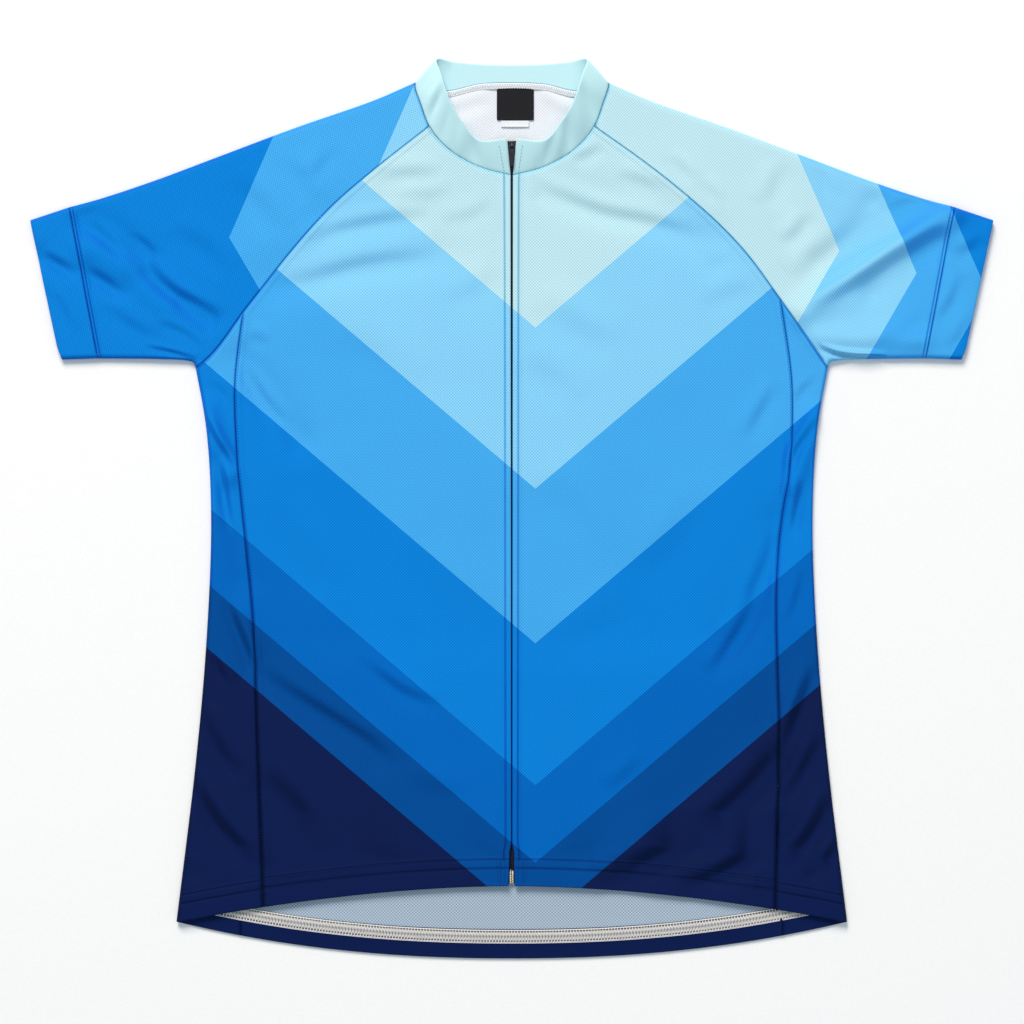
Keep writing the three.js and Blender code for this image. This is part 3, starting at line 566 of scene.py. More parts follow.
# Materials
def nodeMaths(tree, operation, first, second=0.0, third=None):
    node = tree.nodes.new("ShaderNodeMath")
    node.operation = operation
    for socket, value in zip(node.inputs, (first, second, third)):
        if isinstance(value, bpy.types.NodeSocket):
            tree.links.new(value, socket)
        elif value is not None:
            socket.default_value = value
    return node.outputs[0]


def mixColours(tree, blend, factor, first, second):
    node = tree.nodes.new("ShaderNodeMix")
    node.data_type = "RGBA"
    node.blend_type = blend
    node.inputs[0].default_value = factor
    for socket, value in ((node.inputs[6], first), (node.inputs[7], second)):
        if isinstance(value, bpy.types.NodeSocket):
            tree.links.new(value, socket)
        else:
            socket.default_value = (*value, 1)
    return node.outputs[2]


# sRGB hex to the linear values that nodes take
def colour(hexCode):
    shares = [int(hexCode[start:start + 2], 16) / 255 for start in (0, 2, 4)]
    return tuple(share / 12.92 if share <= 0.04045 else ((share + 0.055) / 1.055) ** 2.4 for share in shares)


# Dyed print: straight chevrons in seven blues, pale at the neck and navy at the hem
dye = {
    "tones": ["0C1447", "004A95", "0066BE", "0780D8", "44AAED", "88D0F6", "BFE4ED"],
    "gloss": 0.35,
    "glossTint": (0.12, 0.42, 1),
    "bodyPeakX": 20,
    "bodySlope": 0.85,
    "bodyEdges": [-600, -360, -300, -235, -115, 15, 150],
    "sleeveSlope": 0.5,
    "sleeveAxisY": 300,
    "sleeveAxisFall": 0.29,
    "rightSleeveEdges": [-900, -890, -880, -870, -245, -130, -60],
    "leftSleeveEdges": [-900, -890, -880, -870, -405, -345, -283],
    "insideWhite": "E9ECF3",
    "insideDots": 0.22,
    "insideHem": "A6B7C8",
    "insideFrom": -120,
    "insideTo": -300,
    # tint of the threads, and of the painted shade along seams, hems and stitch lines
    "threadAndSeamShadeTint": (0.32, 0.64, 0.8),
    # painted shade on steep cloth: how strongly and how far the colour is darkened
    "paintedSteepShadeGain": 3.5,
    "paintedSteepShadeMost": 0.4,
}


def printColour(tree, layout):
    place = tree.nodes.new("ShaderNodeTexCoord")
    split = tree.nodes.new("ShaderNodeSeparateXYZ")
    tree.links.new(place.outputs["Object"], split.inputs[0])
    x, y = split.outputs[0], split.outputs[1]
    if layout == "body":
        across = nodeMaths(tree, "ABSOLUTE", nodeMaths(tree, "SUBTRACT", x, dye["bodyPeakX"] * mm))
        level = nodeMaths(tree, "MULTIPLY_ADD", across, -dye["bodySlope"], y)
        edges = dye["bodyEdges"]
    else:
        out = nodeMaths(tree, "ABSOLUTE", x)
        axis = nodeMaths(tree, "MULTIPLY_ADD", out, -dye["sleeveAxisFall"], dye["sleeveAxisY"] * mm)
        aside = nodeMaths(tree, "ABSOLUTE", nodeMaths(tree, "SUBTRACT", y, axis))
        level = nodeMaths(tree, "SUBTRACT", nodeMaths(tree, "MULTIPLY", aside, -dye["sleeveSlope"]), out)
        edges = dye[layout + "Edges"]
    low, high = -1000, 400
    share = tree.nodes.new("ShaderNodeMapRange")
    tree.links.new(level, share.inputs["Value"])
    share.inputs["From Min"].default_value = low * mm
    share.inputs["From Max"].default_value = high * mm
    ramp = tree.nodes.new("ShaderNodeValToRGB")
    ramp.color_ramp.interpolation = "CONSTANT"
    stops = ramp.color_ramp.elements
    stops[0].color = (*colour(dye["tones"][0]), 1)
    stops[0].position = 0
    stops.remove(stops[1])
    for tone, edge in zip(dye["tones"][1:], edges[1:]):
        stop = stops.new((edge - low) / (high - low))
        stop.color = (*colour(tone), 1)
    tree.links.new(share.outputs["Result"], ramp.inputs["Fac"])
    return ramp.outputs["Color"]


# Dots of a knit, from 0 in a hole to 1 on a loop, turned by an angle on the cloth
def knitDots(tree, pitch, turn, stretch=1.0):
    place = tree.nodes.new("ShaderNodeUVMap")
    place.uv_map = "cloth"
    mapping = tree.nodes.new("ShaderNodeMapping")
    mapping.inputs["Rotation"].default_value = (0, 0, math.radians(turn))
    mapping.inputs["Scale"].default_value = (2 * math.pi / (pitch * mm),
                                             2 * math.pi / (pitch * stretch * mm), 1)
    tree.links.new(place.outputs[0], mapping.inputs["Vector"])
    split = tree.nodes.new("ShaderNodeSeparateXYZ")
    tree.links.new(mapping.outputs[0], split.inputs[0])
    waves = nodeMaths(tree, "ADD", nodeMaths(tree, "SINE", split.outputs[0]),
                      nodeMaths(tree, "SINE", split.outputs[1]))
    return nodeMaths(tree, "MULTIPLY_ADD", waves, 0.25, 0.5), place.outputs[0]


# The wrong side of the cloth: white at the neck, greyer where the dark dye strikes through
def insideColour(tree):
    place = tree.nodes.new("ShaderNodeTexCoord")
    split = tree.nodes.new("ShaderNodeSeparateXYZ")
    tree.links.new(place.outputs["Object"], split.inputs[0])
    share = tree.nodes.new("ShaderNodeMapRange")
    tree.links.new(split.outputs[1], share.inputs["Value"])
    share.inputs["From Min"].default_value = dye["insideFrom"] * mm
    share.inputs["From Max"].default_value = dye["insideTo"] * mm
    shown = mixColours(tree, "MIX", 1.0, colour(dye["insideWhite"]), colour(dye["insideHem"]))
    tree.links.new(share.outputs["Result"], shown.node.inputs[0])
    return shown, share.outputs["Result"]


def noise(tree, vector, scale, detail):
    node = tree.nodes.new("ShaderNodeTexNoise")
    node.inputs["Scale"].default_value = scale
    node.inputs["Detail"].default_value = detail
    tree.links.new(vector, node.inputs["Vector"])
    return node.outputs["Fac"]


knits = {
    "mesh": {"pitch": 1.8, "turn": 45, "stretch": 1.0, "dots": 0.5, "bump": 0.6, "roughness": 0.62,
             "sheen": 0.02},
    "wrongSide": {"pitch": 1.95, "turn": 45, "stretch": 1.0, "dots": 0.85, "bump": 0.4, "roughness": 0.74,
                  "sheen": 0.02},
    "pique": {"pitch": 1.65, "turn": 32, "stretch": 1.2, "dots": 0.42, "bump": 0.55, "roughness": 0.62,
              "sheen": 0.02},
    "rib": {"pitch": 1.1, "turn": 30, "stretch": 1.8, "dots": 0.12, "bump": 0.16, "roughness": 0.68,
            "sheen": 0.03},
    "woven": {"pitch": 0.9, "turn": 0, "stretch": 1.0, "dots": 0.3, "bump": 0.3, "roughness": 0.72,
              "sheen": 0.02},
}


def startMaterial(name):
    material = bpy.data.materials.new(name)
    material.use_nodes = True
    return material, material.node_tree, material.node_tree.nodes["Principled BSDF"]


# Painted shade: where the cloth is steep, its normal far from upright, its colour is multiplied by itself,
# deeper and darker, standing in for shade and light bounced in folds
def paintSteepShade(tree, shown):
    geometry = tree.nodes.new("ShaderNodeNewGeometry")
    split = tree.nodes.new("ShaderNodeSeparateXYZ")
    tree.links.new(geometry.outputs["Normal"], split.inputs[0])
    upright = nodeMaths(tree, "MULTIPLY", split.outputs[2], split.outputs[2])
    steep = nodeMaths(tree, "MULTIPLY_ADD", upright, -dye["paintedSteepShadeGain"], dye["paintedSteepShadeGain"])
    steep = nodeMaths(tree, "MINIMUM", steep, dye["paintedSteepShadeMost"])
    deep = mixColours(tree, "MULTIPLY", 1.0, shown, shown)
    tree.links.new(steep, deep.node.inputs[0])
    return deep


def clothMaterial(name, knitName, layout=None, flatColour=None, shade=1.0):
    material, tree, shader = startMaterial(name)
    knit = knits[knitName]
    dots, place = knitDots(tree, knit["pitch"], knit["turn"], knit["stretch"])
    depth = knit["dots"]
    if layout:
        base = printColour(tree, layout)
    elif flatColour:
        base = colour(flatColour)
    else:
        base, lowDown = insideColour(tree)
        depth = nodeMaths(tree, "MULTIPLY_ADD", lowDown, knit["dots"] - dye["insideDots"], dye["insideDots"])
    fibres = noise(tree, place, 1900, 3)
    cast = noise(tree, place, 14, 2)
    tone = nodeMaths(tree, "MULTIPLY_ADD", nodeMaths(tree, "SUBTRACT", dots, 0.5), depth, shade)
    tone = nodeMaths(tree, "MULTIPLY_ADD", nodeMaths(tree, "SUBTRACT", fibres, 0.5), 0.16, tone)
    tone = nodeMaths(tree, "MULTIPLY_ADD", nodeMaths(tree, "SUBTRACT", cast, 0.5), 0.05, tone)
    greyTone = tree.nodes.new("ShaderNodeCombineXYZ")
    for socket in greyTone.inputs:
        tree.links.new(tone, socket)
    shown = mixColours(tree, "MULTIPLY", 1.0, base, greyTone.outputs[0])
    # painted shade: the "seam" attribute pulls the colour towards the tint along seams, hems and stitch lines
    seam = tree.nodes.new("ShaderNodeAttribute")
    seam.attribute_name = "seam"
    shown = mixColours(tree, "MULTIPLY", 1.0, shown, dye["threadAndSeamShadeTint"])
    tree.links.new(seam.outputs["Fac"], shown.node.inputs[0])
    # painted shade: printed cloth darkens where it is steep
    if layout:
        shown = paintSteepShade(tree, shown)
    tree.links.new(shown, shader.inputs["Base Color"])
    height = nodeMaths(tree, "MULTIPLY_ADD", fibres, 0.5, dots)
    bump = tree.nodes.new("ShaderNodeBump")
    bump.inputs["Strength"].default_value = knit["bump"]
    bump.inputs["Distance"].default_value = 0.25 * mm
    tree.links.new(height, bump.inputs["Height"])
    tree.links.new(bump.outputs[0], shader.inputs["Normal"])
    rough = nodeMaths(tree, "MULTIPLY_ADD", fibres, 0.16, knit["roughness"])
    tree.links.new(rough, shader.inputs["Roughness"])
    shader.inputs["Specular IOR Level"].default_value = dye["gloss"] if layout else 0.1
    shader.inputs["Specular Tint"].default_value = (*dye["glossTint"], 1) if layout else (1, 1, 1, 1)
    shader.inputs["Sheen Weight"].default_value = knit["sheen"]
    shader.inputs["Sheen Roughness"].default_value = 0.4
    return material


# Plain material with a faint grain, for the floor, thread and metal
def plainMaterial(name, base, roughness, metallic=0.0, grain=900, depth=0.05, layout=None, tint=(1, 1, 1),
                  gloss=0.1):
    material, tree, shader = startMaterial(name)
    place = tree.nodes.new("ShaderNodeTexCoord")
    speck = noise(tree, place.outputs["Object"], grain, 3)
    start = printColour(tree, layout) if layout else base
    start = mixColours(tree, "MULTIPLY", 1.0, start, tint)
    level = nodeMaths(tree, "MULTIPLY_ADD", speck, 0.12, 0.94)
    greyTone = tree.nodes.new("ShaderNodeCombineXYZ")
    for socket in greyTone.inputs:
        tree.links.new(level, socket)
    tree.links.new(mixColours(tree, "MULTIPLY", 1.0, start, greyTone.outputs[0]), shader.inputs["Base Color"])
    tree.links.new(nodeMaths(tree, "MULTIPLY_ADD", speck, 0.14, roughness - 0.07), shader.inputs["Roughness"])
    bump = tree.nodes.new("ShaderNodeBump")
    bump.inputs["Strength"].default_value = depth
    bump.inputs["Distance"].default_value = 0.1 * mm
    tree.links.new(speck, bump.inputs["Height"])
    tree.links.new(bump.outputs[0], shader.inputs["Normal"])
    shader.inputs["Metallic"].default_value = metallic
    shader.inputs["Specular IOR Level"].default_value = gloss
    return material


cloths = {
    "bodyOut": clothMaterial("body_print", "mesh", "body"),
    "bodyIn": clothMaterial("body_inside", "wrongSide"),
    "sideOut": clothMaterial("side_print", "pique", "body"),
    "sideIn": clothMaterial("side_inside", "pique"),
    "collarOut": clothMaterial("collar_dye", "rib", flatColour="C4ECF2"),
    "pocketOut": clothMaterial("pocket_print", "pique", "body", shade=0.97),
    "tape": clothMaterial("zip_tape_weave", "woven", flatColour="182444"),
    "darkLabel": clothMaterial("dark_label_weave", "woven", flatColour="232326"),
    "lightLabel": clothMaterial("light_label_weave", "woven", flatColour="EDF0F2"),
}
for sideName in ("Right", "Left"):
    layout = sideName.lower() + "Sleeve"
    cloths["sleeve" + sideName + "Out"] = clothMaterial(sideName.lower() + "_sleeve_print", "pique", layout)
threads = {
    "body": plainMaterial("body_thread", None, 0.6, layout="body", tint=dye["threadAndSeamShadeTint"]),
    "rightSleeve": plainMaterial("right_sleeve_thread", None, 0.6, layout="rightSleeve",
                                 tint=dye["threadAndSeamShadeTint"]),
    "leftSleeve": plainMaterial("left_sleeve_thread", None, 0.6, layout="leftSleeve", tint=dye["threadAndSeamShadeTint"]),
    "white": plainMaterial("white_thread", colour("F7F3EC"), 0.5),
    "dark": plainMaterial("dark_thread", colour("1A2140"), 0.5),
    "grey": plainMaterial("grey_thread", colour("D3D8E0"), 0.5),
}
metals = {
    "slider": plainMaterial("slider_paint", colour("303136"), 0.3, 0.35, gloss=0.6),
    "box": plainMaterial("box_metal", colour("BDB6A8"), 0.3, 0.9, gloss=0.5),
    "teeth": plainMaterial("zip_coil", colour("1B2233"), 0.42, gloss=0.3),
}
print("materials ready")

makeCamera()
makeStudio()


# Edge of a panel that follows the raglan, then the side seam
def raglanThenSide(raglanRows, sideRows, share):
    raglan, side = lineAlong(raglanRows), lineAlong(sideRows)

    def edge(v):
        onRaglan = (np.asarray(v) <= share)[..., None]
        return np.where(onRaglan, raglan(np.clip(v / share, 0, 1)),
                        side(np.clip((v - share) / (1 - share), 0, 1)))

    return edge


frontCut = {
    "columns": 84, "rows": 150, "wall": 0.7, "raglanShare": 0.3, "turnUp": 22, "hemDrop": 1.5, "hemRise": 0.5,
    "nearZip": [0, 0.35, 0.8, 1.5, 2.5, 3.4, 3.9, 4.3, 4.6, 4.9, 5.2, 5.6, 6.2, 7.2, 8.4], "reach": 10,
    "stitch": 4.8,
}


def zipEdge(y):
    opens, opened = body["zipSlitOpens"]
    low = np.clip((opened - y) / (opened - body["frontHemY"]), 0, 1)
    return lerp(body["zipSlit"], lerp(body["zipSlitOpen"], body["zipSlitAtHem"], low),
                smooth(-opens, -opened, -y))


def frontPanel(sideName):
    side = sides[sideName]
    sign, gap = side["sign"], body["seamGap"]
    lastOut = side["sideSeam"][-1][0]

    def zipLine(v):
        y = lerp(neckPoint(0.0)[1], body["frontHemY"], np.asarray(v, float))
        return np.stack([zipEdge(y), y], -1)

    def hemLine(u):
        out = lerp(body["zipSlitAtHem"], lastOut, np.asarray(u, float))
        return np.stack([out, frontHem(out)], -1)

    surface = patch(
        zipLine,
        raglanThenSide(side["raglan"], side["sideSeam"], frontCut["raglanShare"]),
        lambda u: neckPoint(np.asarray(u) * raglanStation),
        hemLine,
    )
    fromZip, rest = nearThenRest(frontCut["nearZip"], crowdEnd(frontCut["columns"], 1.25))
    rowShare, rowFromHem, rowDrop = hemRows(frontCut["rows"], frontCut["turnUp"], frontCut["hemDrop"])

    def place(column, row):
        v, fromHem, drop = rowShare[row], rowFromHem[row], rowDrop[row]
        across = np.linalg.norm(surface(0 * v, v) - surface(0 * v + 1, v), axis=-1)
        u = shareFrom(across, fromZip[column], frontCut["reach"], rest[column])
        flat, (toZip, toSide, toNeck, toHem) = patchPoint(surface, u, v, fromHem, (0, gap, gap, 0))
        x, y = flat[:, 0] * sign, flat[:, 1]
        z = upperTop(x, y)
        z += seamRelief(toSide, y, 0.3) + 0.15 * seamRelief(toNeck, x, 0.4)
        onTop = 1 - drop / frontCut["hemDrop"]
        atStitch = drawn(toZip - frontCut["stitch"], 0.7) * smooth(20, 24, toHem)
        z += 0.4 * (1 - smooth(5.6, 8, toZip)) - 0.25 * drawn(toZip, 0.4) * onTop - 0.45 * atStitch
        z += hemRelief(x, toHem, frontCut["hemRise"])
        turned = drop > 0.75 * frontCut["hemDrop"]
        onCloth = np.stack([x + 500, np.where(turned, 2 * frontHem(x) - y, y) + 500], -1)
        # painted shade along the side seam, the neck, the hem rows and the zip stitching
        seam = drawn(toSide, 1.1) + 0.3 * drawn(toNeck, 0.6) + paintedHemShade(toHem) + 0.7 * atStitch
        return np.stack([x, y, z - drop], -1), onCloth, seam

    piece = clothGrid("front_" + sideName.lower() + "_cloth", len(rest), len(rowShare), place, "up")
    thickenCloth(piece, frontCut["wall"], cloths["bodyOut"], cloths["bodyIn"])
    return settle(piece, "front_" + sideName.lower())


# A hem's two needle rows, with the step of its allowance and the small waves along them
hemSeams = {"rows": (15.1, 22.9), "zipRight": -5.8, "zipLeft": 5.3, "looperBand": (13.2, 24.2)}


def hemRelief(along, toHem, rise):
    wave = np.sin(along / 1.9 + 1.7 * np.sin(along / 31)) + 0.6 * np.sin(along / 5.3 + 1)
    relief = rise * (1 - smooth(23.4, 25.2, toHem))
    for row in hemSeams["rows"]:
        relief = relief + 0.13 * wave * drawn(toHem - row, 5) - 0.45 * drawn(toHem - row, 0.8)
    return relief


# painted shade along the hem's two needle rows
def paintedHemShade(toHem):
    return sum(0.85 * drawn(toHem - row, 0.7) for row in hemSeams["rows"])


backCut = {"columns": 110, "rows": 130, "wall": 0.7, "turnUp": 23.6, "hemRise": 1.5}


def backPanel():
    edge = raglanThenSide(backRaglan, backSideSeam, frontCut["raglanShare"])
    flip = np.array([-1, 1])
    lastOut = backSideSeam[-1][0]

    def neckLine(u):
        u = np.asarray(u, float)
        point = neckPoint(lerp(backNeckStation, lastStation, 1 - np.abs(2 * u - 1)))
        return np.where((u < 0.5)[..., None], point * flip, point)

    def hemLine(u):
        out = lerp(-lastOut, lastOut, np.asarray(u, float))
        return np.stack([out, backHem(out)], -1)

    surface = patch(lambda v: edge(v) * flip, edge, neckLine, hemLine)
    gap = body["seamGap"]
    shares = crowdBoth(backCut["columns"], 1.25)
    rowShare, rowFromHem, rowDrop = hemRows(backCut["rows"], backCut["turnUp"], backCut["hemRise"])

    def place(column, row):
        u, v, fromHem, rise = shares[column], rowShare[row], rowFromHem[row], rowDrop[row]
        flat, (toRight, toLeft, toNeck, toHem) = patchPoint(surface, u, v, fromHem, (gap, gap, gap, 0))
        x, y = flat[:, 0], flat[:, 1]
        toSide = np.minimum(toRight, toLeft)
        groove = 0.5 * np.exp(-((toSide / 1.1) ** 2)) + 0.5 * np.exp(-((toNeck / 1.1) ** 2))
        lift = lowerLift(x, y) * smooth(0, 30, toHem)
        z = pocketRise(x, y) + lift + groove + rise
        z += 0.1 * (1 + np.sin(x / 1.9)) * np.exp(-(((toHem - hemSeams["rows"][1]) / 4) ** 2)) * (rise < 0.1)
        turned = rise > 0.75 * backCut["hemRise"]
        onCloth = np.stack([x + 500, np.where(turned, 2 * backHem(x) - y, y) + 500], -1)
        # painted shade along the side seams, the neck and the hem rows
        seam = drawn(toSide, 0.9) + drawn(toNeck, 0.8) + paintedHemShade(toHem) * (rise < 0.1)
        return np.stack([x, y, z], -1), onCloth, seam

    piece = clothGrid("back_cloth", len(shares), len(rowShare), place, "down")
    thickenCloth(piece, backCut["wall"], cloths["bodyOut"], cloths["bodyIn"])
    return settle(piece, "back")


# A point of a layer that turns round a fold, at a depth inside it
def foldedPoint(flat, fold, far, upper, depth, relief):
    away = np.linalg.norm(flat - fold, axis=-1)
    inward = (far - fold) / np.linalg.norm(far - fold, axis=-1)[..., None]
    opening = foldOpening(away)
    x, y = flat[:, 0], flat[:, 1]
    top = upperTop(x, y) + relief
    low = lowerLift(x, y) * smooth(4, 24, away)
    upperZ = top / 2 * (1 + opening) - depth * opening
    lowerZ = top / 2 * (1 - opening) + depth * opening + low
    moved = flat + inward * (depth * (1 - opening))[:, None]
    return np.stack([moved[:, 0], moved[:, 1], np.where(upper, upperZ, lowerZ)], -1)


sideCut = {"columns": 26, "rows": 120, "wall": 0.7, "turnUp": 22, "hemDrop": 1.5, "hemRise": 0.5}


def sidePanel(sideName):
    side = sides[sideName]
    sign, gap = side["sign"], body["seamGap"]
    fold = lineAlong(bodySide)

    def hemLine(start, hem):
        def line(u):
            out = lerp(start, body["hemCorner"][0], np.asarray(u, float))
            return np.stack([out, hem(out)], -1)

        return line

    front = patch(lineAlong(side["sideSeam"]), fold, lineAlong(side["underarmRaglan"]),
                  hemLine(side["sideSeam"][-1][0], frontHem))
    back = patch(lineAlong(backSideSeam), fold, lineAlong(backUnderarmRaglan),
                 hemLine(backSideSeam[-1][0], backHem))
    shares = crowdEnd(sideCut["columns"])
    shares = np.concatenate([shares, shares[-2::-1]])
    isUpper = np.arange(len(shares)) <= sideCut["columns"]
    rowShare, rowFromHem, rowDrop = hemRows(sideCut["rows"], sideCut["turnUp"], sideCut["hemDrop"])
    flip = np.array([sign, 1])

    def place(column, row):
        u, v, fromHem, drop = shares[column], rowShare[row], rowFromHem[row], rowDrop[row]
        upper = isUpper[column]
        gaps = (gap, 0, gap, 0)
        frontFlat, frontAway = patchPoint(front, u, v, fromHem, gaps)
        backFlat, backAway = patchPoint(back, u, v, fromHem, gaps)
        frontFold, _ = patchPoint(front, 0 * u + 1, v, fromHem, gaps)
        backFold, _ = patchPoint(back, 0 * u + 1, v, fromHem, gaps)
        frontFar, _ = patchPoint(front, 0 * u, v, fromHem, gaps)
        backFar, _ = patchPoint(back, 0 * u, v, fromHem, gaps)
        pick = upper[:, None]
        flat = np.where(pick, frontFlat, backFlat) * flip
        toSeam, _, toArm, toHem = (np.where(upper, a, b) for a, b in zip(frontAway, backAway))
        relief = seamRelief(toSeam, flat[:, 1], 0.0) + seamRelief(toArm, flat[:, 0], 0.2)
        relief += hemRelief(flat[:, 0], toHem, sideCut["hemRise"])
        points = foldedPoint(flat, np.where(pick, frontFold, backFold) * flip,
                             np.where(pick, frontFar, backFar) * flip, upper, drop, relief)
        points[:, 2] += np.where(upper, 0, 0.45 * np.exp(-((toSeam / 1.1) ** 2)))
        turned = drop > 0.75 * sideCut["hemDrop"]
        x, y = flat[:, 0], flat[:, 1]
        outwards = np.where(upper, x, 2 * sign * backFold[:, 0] - x)
        onCloth = np.stack([outwards + 700, np.where(turned, y - 2 * toHem, y) + 500], -1)
        # the last value is painted shade along the seams and the hem rows
        return points, onCloth, drawn(toSeam, 0.9) + drawn(toArm, 0.8) + paintedHemShade(toHem)

    piece = clothGrid("side_" + sideName.lower() + "_cloth", len(shares), len(rowShare), place, "around")
    thickenCloth(piece, sideCut["wall"], cloths["sideOut"], cloths["sideIn"])
    return settle(piece, "side_" + sideName.lower())


# The sleeve's body edge: the neck, the raglan, and the raglan's end under the arm
sleeveCut = {
    "columns": 76, "rows": 92, "wall": 0.7, "neckShare": 0.12, "underarmShare": 0.2, "reach": 7,
    "stitch": 2.6,
    "nearBand": [0, 0.3, 0.6, 1, 1.5, 1.9, 2.2, 2.45, 2.7, 3, 3.4, 4.1, 5, 6],
}


def sleeveEdge(neckFrom, neckTo, raglanRows, underarmRows):
    raglan, underarm = lineAlong(raglanRows), lineAlong(underarmRows)
    first, last = sleeveCut["neckShare"], sleeveCut["underarmShare"]

    def edge(v):
        v = np.asarray(v, float)
        onNeck = neckPoint(lerp(neckFrom, neckTo, np.clip(v / first, 0, 1)))
        onRaglan = raglan(np.clip((v - first) / (1 - last - first), 0, 1))
        onUnderarm = underarm(np.clip((v - 1 + last) / last, 0, 1))
        return np.where((v < first)[..., None], onNeck,
                        np.where((v < 1 - last)[..., None], onRaglan, onUnderarm))

    return edge


# A flattened tube, with folds along v = 0 and v = 1
def tubeGrid(name, sign, upper, lower, acrossShares, alongAt, alongDepth, gaps, reliefAt, angle):
    ring = np.concatenate([acrossShares, acrossShares[-2::-1]])
    isUpper = np.arange(len(ring)) < len(acrossShares)
    flip = np.array([sign, 1])

    def place(column, row):
        v, depth, above = ring[column], alongDepth[row], isUpper[column]
        none = np.full(len(v), -1.0)
        pick = above[:, None]

        def both(share):
            onUpper, away = patchPoint(upper, alongAt(upper, share, row), share, none, gaps)
            onLower, awayLow = patchPoint(lower, alongAt(lower, share, row), share, none, gaps)
            distances = [np.where(above, a, b) for a, b in zip(away, awayLow)]
            return np.where(pick, onUpper, onLower) * flip, distances

        flat, away = both(v)
        fold, _ = both(np.where(v < 0.5, 0.0, 1.0))
        far, _ = both(np.where(v < 0.5, 1.0, 0.0))
        relief, seam = reliefAt(away, flat)
        points = foldedPoint(flat, fold, far, above, depth, relief)
        points[:, 2] += np.where(above, 0, 0.4 * np.exp(-((away[0] / 1.1) ** 2))
                                 * smooth(3, 8, np.minimum(away[2], away[3])))
        slope = math.radians(angle) * sign
        alongCloth = flat[:, 0] * math.cos(slope) + flat[:, 1] * math.sin(slope)
        acrossCloth = flat[:, 1] * math.cos(slope) - flat[:, 0] * math.sin(slope)
        acrossCloth = np.where(above, acrossCloth, 400 - acrossCloth) + 400
        return points, np.stack([alongCloth + 500, acrossCloth], -1), seam

    return clothGrid(name, len(ring), len(alongDepth), place, "around", weld=True)


def sleeve(sideName):
    side = sides[sideName]
    gap = body["seamGap"]
    ends = (straight(shoulderFold[-1], underarmFold[-1]), lineAlong(shoulderFold), lineAlong(underarmFold))
    upper = patch(sleeveEdge(shoulderStation, raglanStation, side["raglan"], side["underarmRaglan"]), *ends)
    lower = patch(sleeveEdge(shoulderStation, backNeckStation, backRaglan, backUnderarmRaglan), *ends)

    def reliefAt(away, flat):
        toRaglan, toBand, toTop, toUnder = away
        calm = smooth(0, 8, np.minimum(toTop, toUnder))
        atStitch = drawn(toBand - sleeveCut["stitch"], 0.5)
        atBand = 0.4 * (1 - smooth(3.6, 6, toBand)) - 0.75 * drawn(toBand, 0.5) - 0.5 * atStitch
        # painted shade along the raglan, the band seam and its stitching
        seam = drawn(toRaglan, 1.1) + drawn(toBand, 0.6) + 0.9 * atStitch
        return (seamRelief(toRaglan, flat[:, 1], 0.0) + atBand) * calm, seam

    fromBand, rest = nearThenRest(sleeveCut["nearBand"], crowdEnd(sleeveCut["rows"], 1.25))

    def alongAt(surface, v, row):
        span = np.linalg.norm(surface(0 * v, v) - surface(0 * v + 1, v), axis=-1)
        return 1 - shareFrom(span, fromBand[row], sleeveCut["reach"], rest[row])

    piece = tubeGrid("sleeve_" + sideName.lower() + "_cloth", side["sign"], upper, lower,
                     crowdBoth(sleeveCut["columns"], 1.45), alongAt, 0 * rest, (gap, gap, 0, 0), reliefAt,
                     -17)
    thickenCloth(piece, sleeveCut["wall"], cloths["sleeve" + sideName + "Out"], cloths["sideIn"])
    return settle(piece, "sleeve_" + sideName.lower())


bandCut = {"columns": 60, "rows": 16, "wall": 0.6, "turnIn": 12, "depth": 1.3, "rise": 0.5, "corner": 1.5}


def sleeveBand(sideName):
    side = sides[sideName]
    flatBand = patch(
        straight(shoulderFold[-1], underarmFold[-1]),
        straight(*bandEnd),
        straight(shoulderFold[-1], bandEnd[0]),
        straight(underarmFold[-1], bandEnd[1]),
    )

    def rounded(u, v):
        length = np.linalg.norm(flatBand(0 * u, v) - flatBand(0 * u + 1, v), axis=-1)
        pull = bandCut["corner"] * smooth(0.9, 1, v) * smooth(0.6, 1, u) / length
        return flatBand(u - pull * u, v)

    turn = np.linspace(0, np.pi, 7)
    radius = bandCut["depth"] / 2 / 33
    alongShares = np.concatenate([
        [0.002, 0.01, 0.022, 0.036, 0.055],
        np.linspace(0.08, 0.9, bandCut["rows"] - 5, endpoint=False),
        1 - radius * (1 - np.sin(turn)),
        np.linspace(0.96, 1 - bandCut["turnIn"] / 33, 6),
    ])
    depth = np.concatenate([
        np.zeros(bandCut["rows"]),
        bandCut["depth"] / 2 * (1 - np.cos(turn)),
        np.full(6, bandCut["depth"]),
    ])

    def reliefAt(away, flat):
        calm = smooth(0, 6, np.minimum(away[2], away[3]))
        # the second value is painted shade along the band seam
        return bandCut["rise"] - 0.75 * drawn(away[0], 0.6) * calm, drawn(away[0], 0.5)

    piece = tubeGrid("sleeve_band_" + sideName.lower() + "_cloth", side["sign"], rounded, rounded,
                     crowdBoth(bandCut["columns"], 1.45), lambda surface, v, row: alongShares[row], depth,
                     (0, 0, 0, 0), reliefAt, -17)
    thickenCloth(piece, bandCut["wall"], cloths["sleeve" + sideName + "Out"], cloths["sideIn"])
    return settle(piece, "sleeve_band_" + sideName.lower())


shells = []
for sideName in ("Right", "Left"):
    shells += [frontPanel(sideName), sidePanel(sideName), sleeve(sideName), sleeveBand(sideName)]
shells.append(backPanel())
print("panels laid")


# Standing collar: a folded band of cloth from one zip edge round the back to the other
collarCut = {"around": 240, "wall": 0.66, "depth": 1.4, "crown": 0.35, "gap": 0.05, "sunk": 0.3}

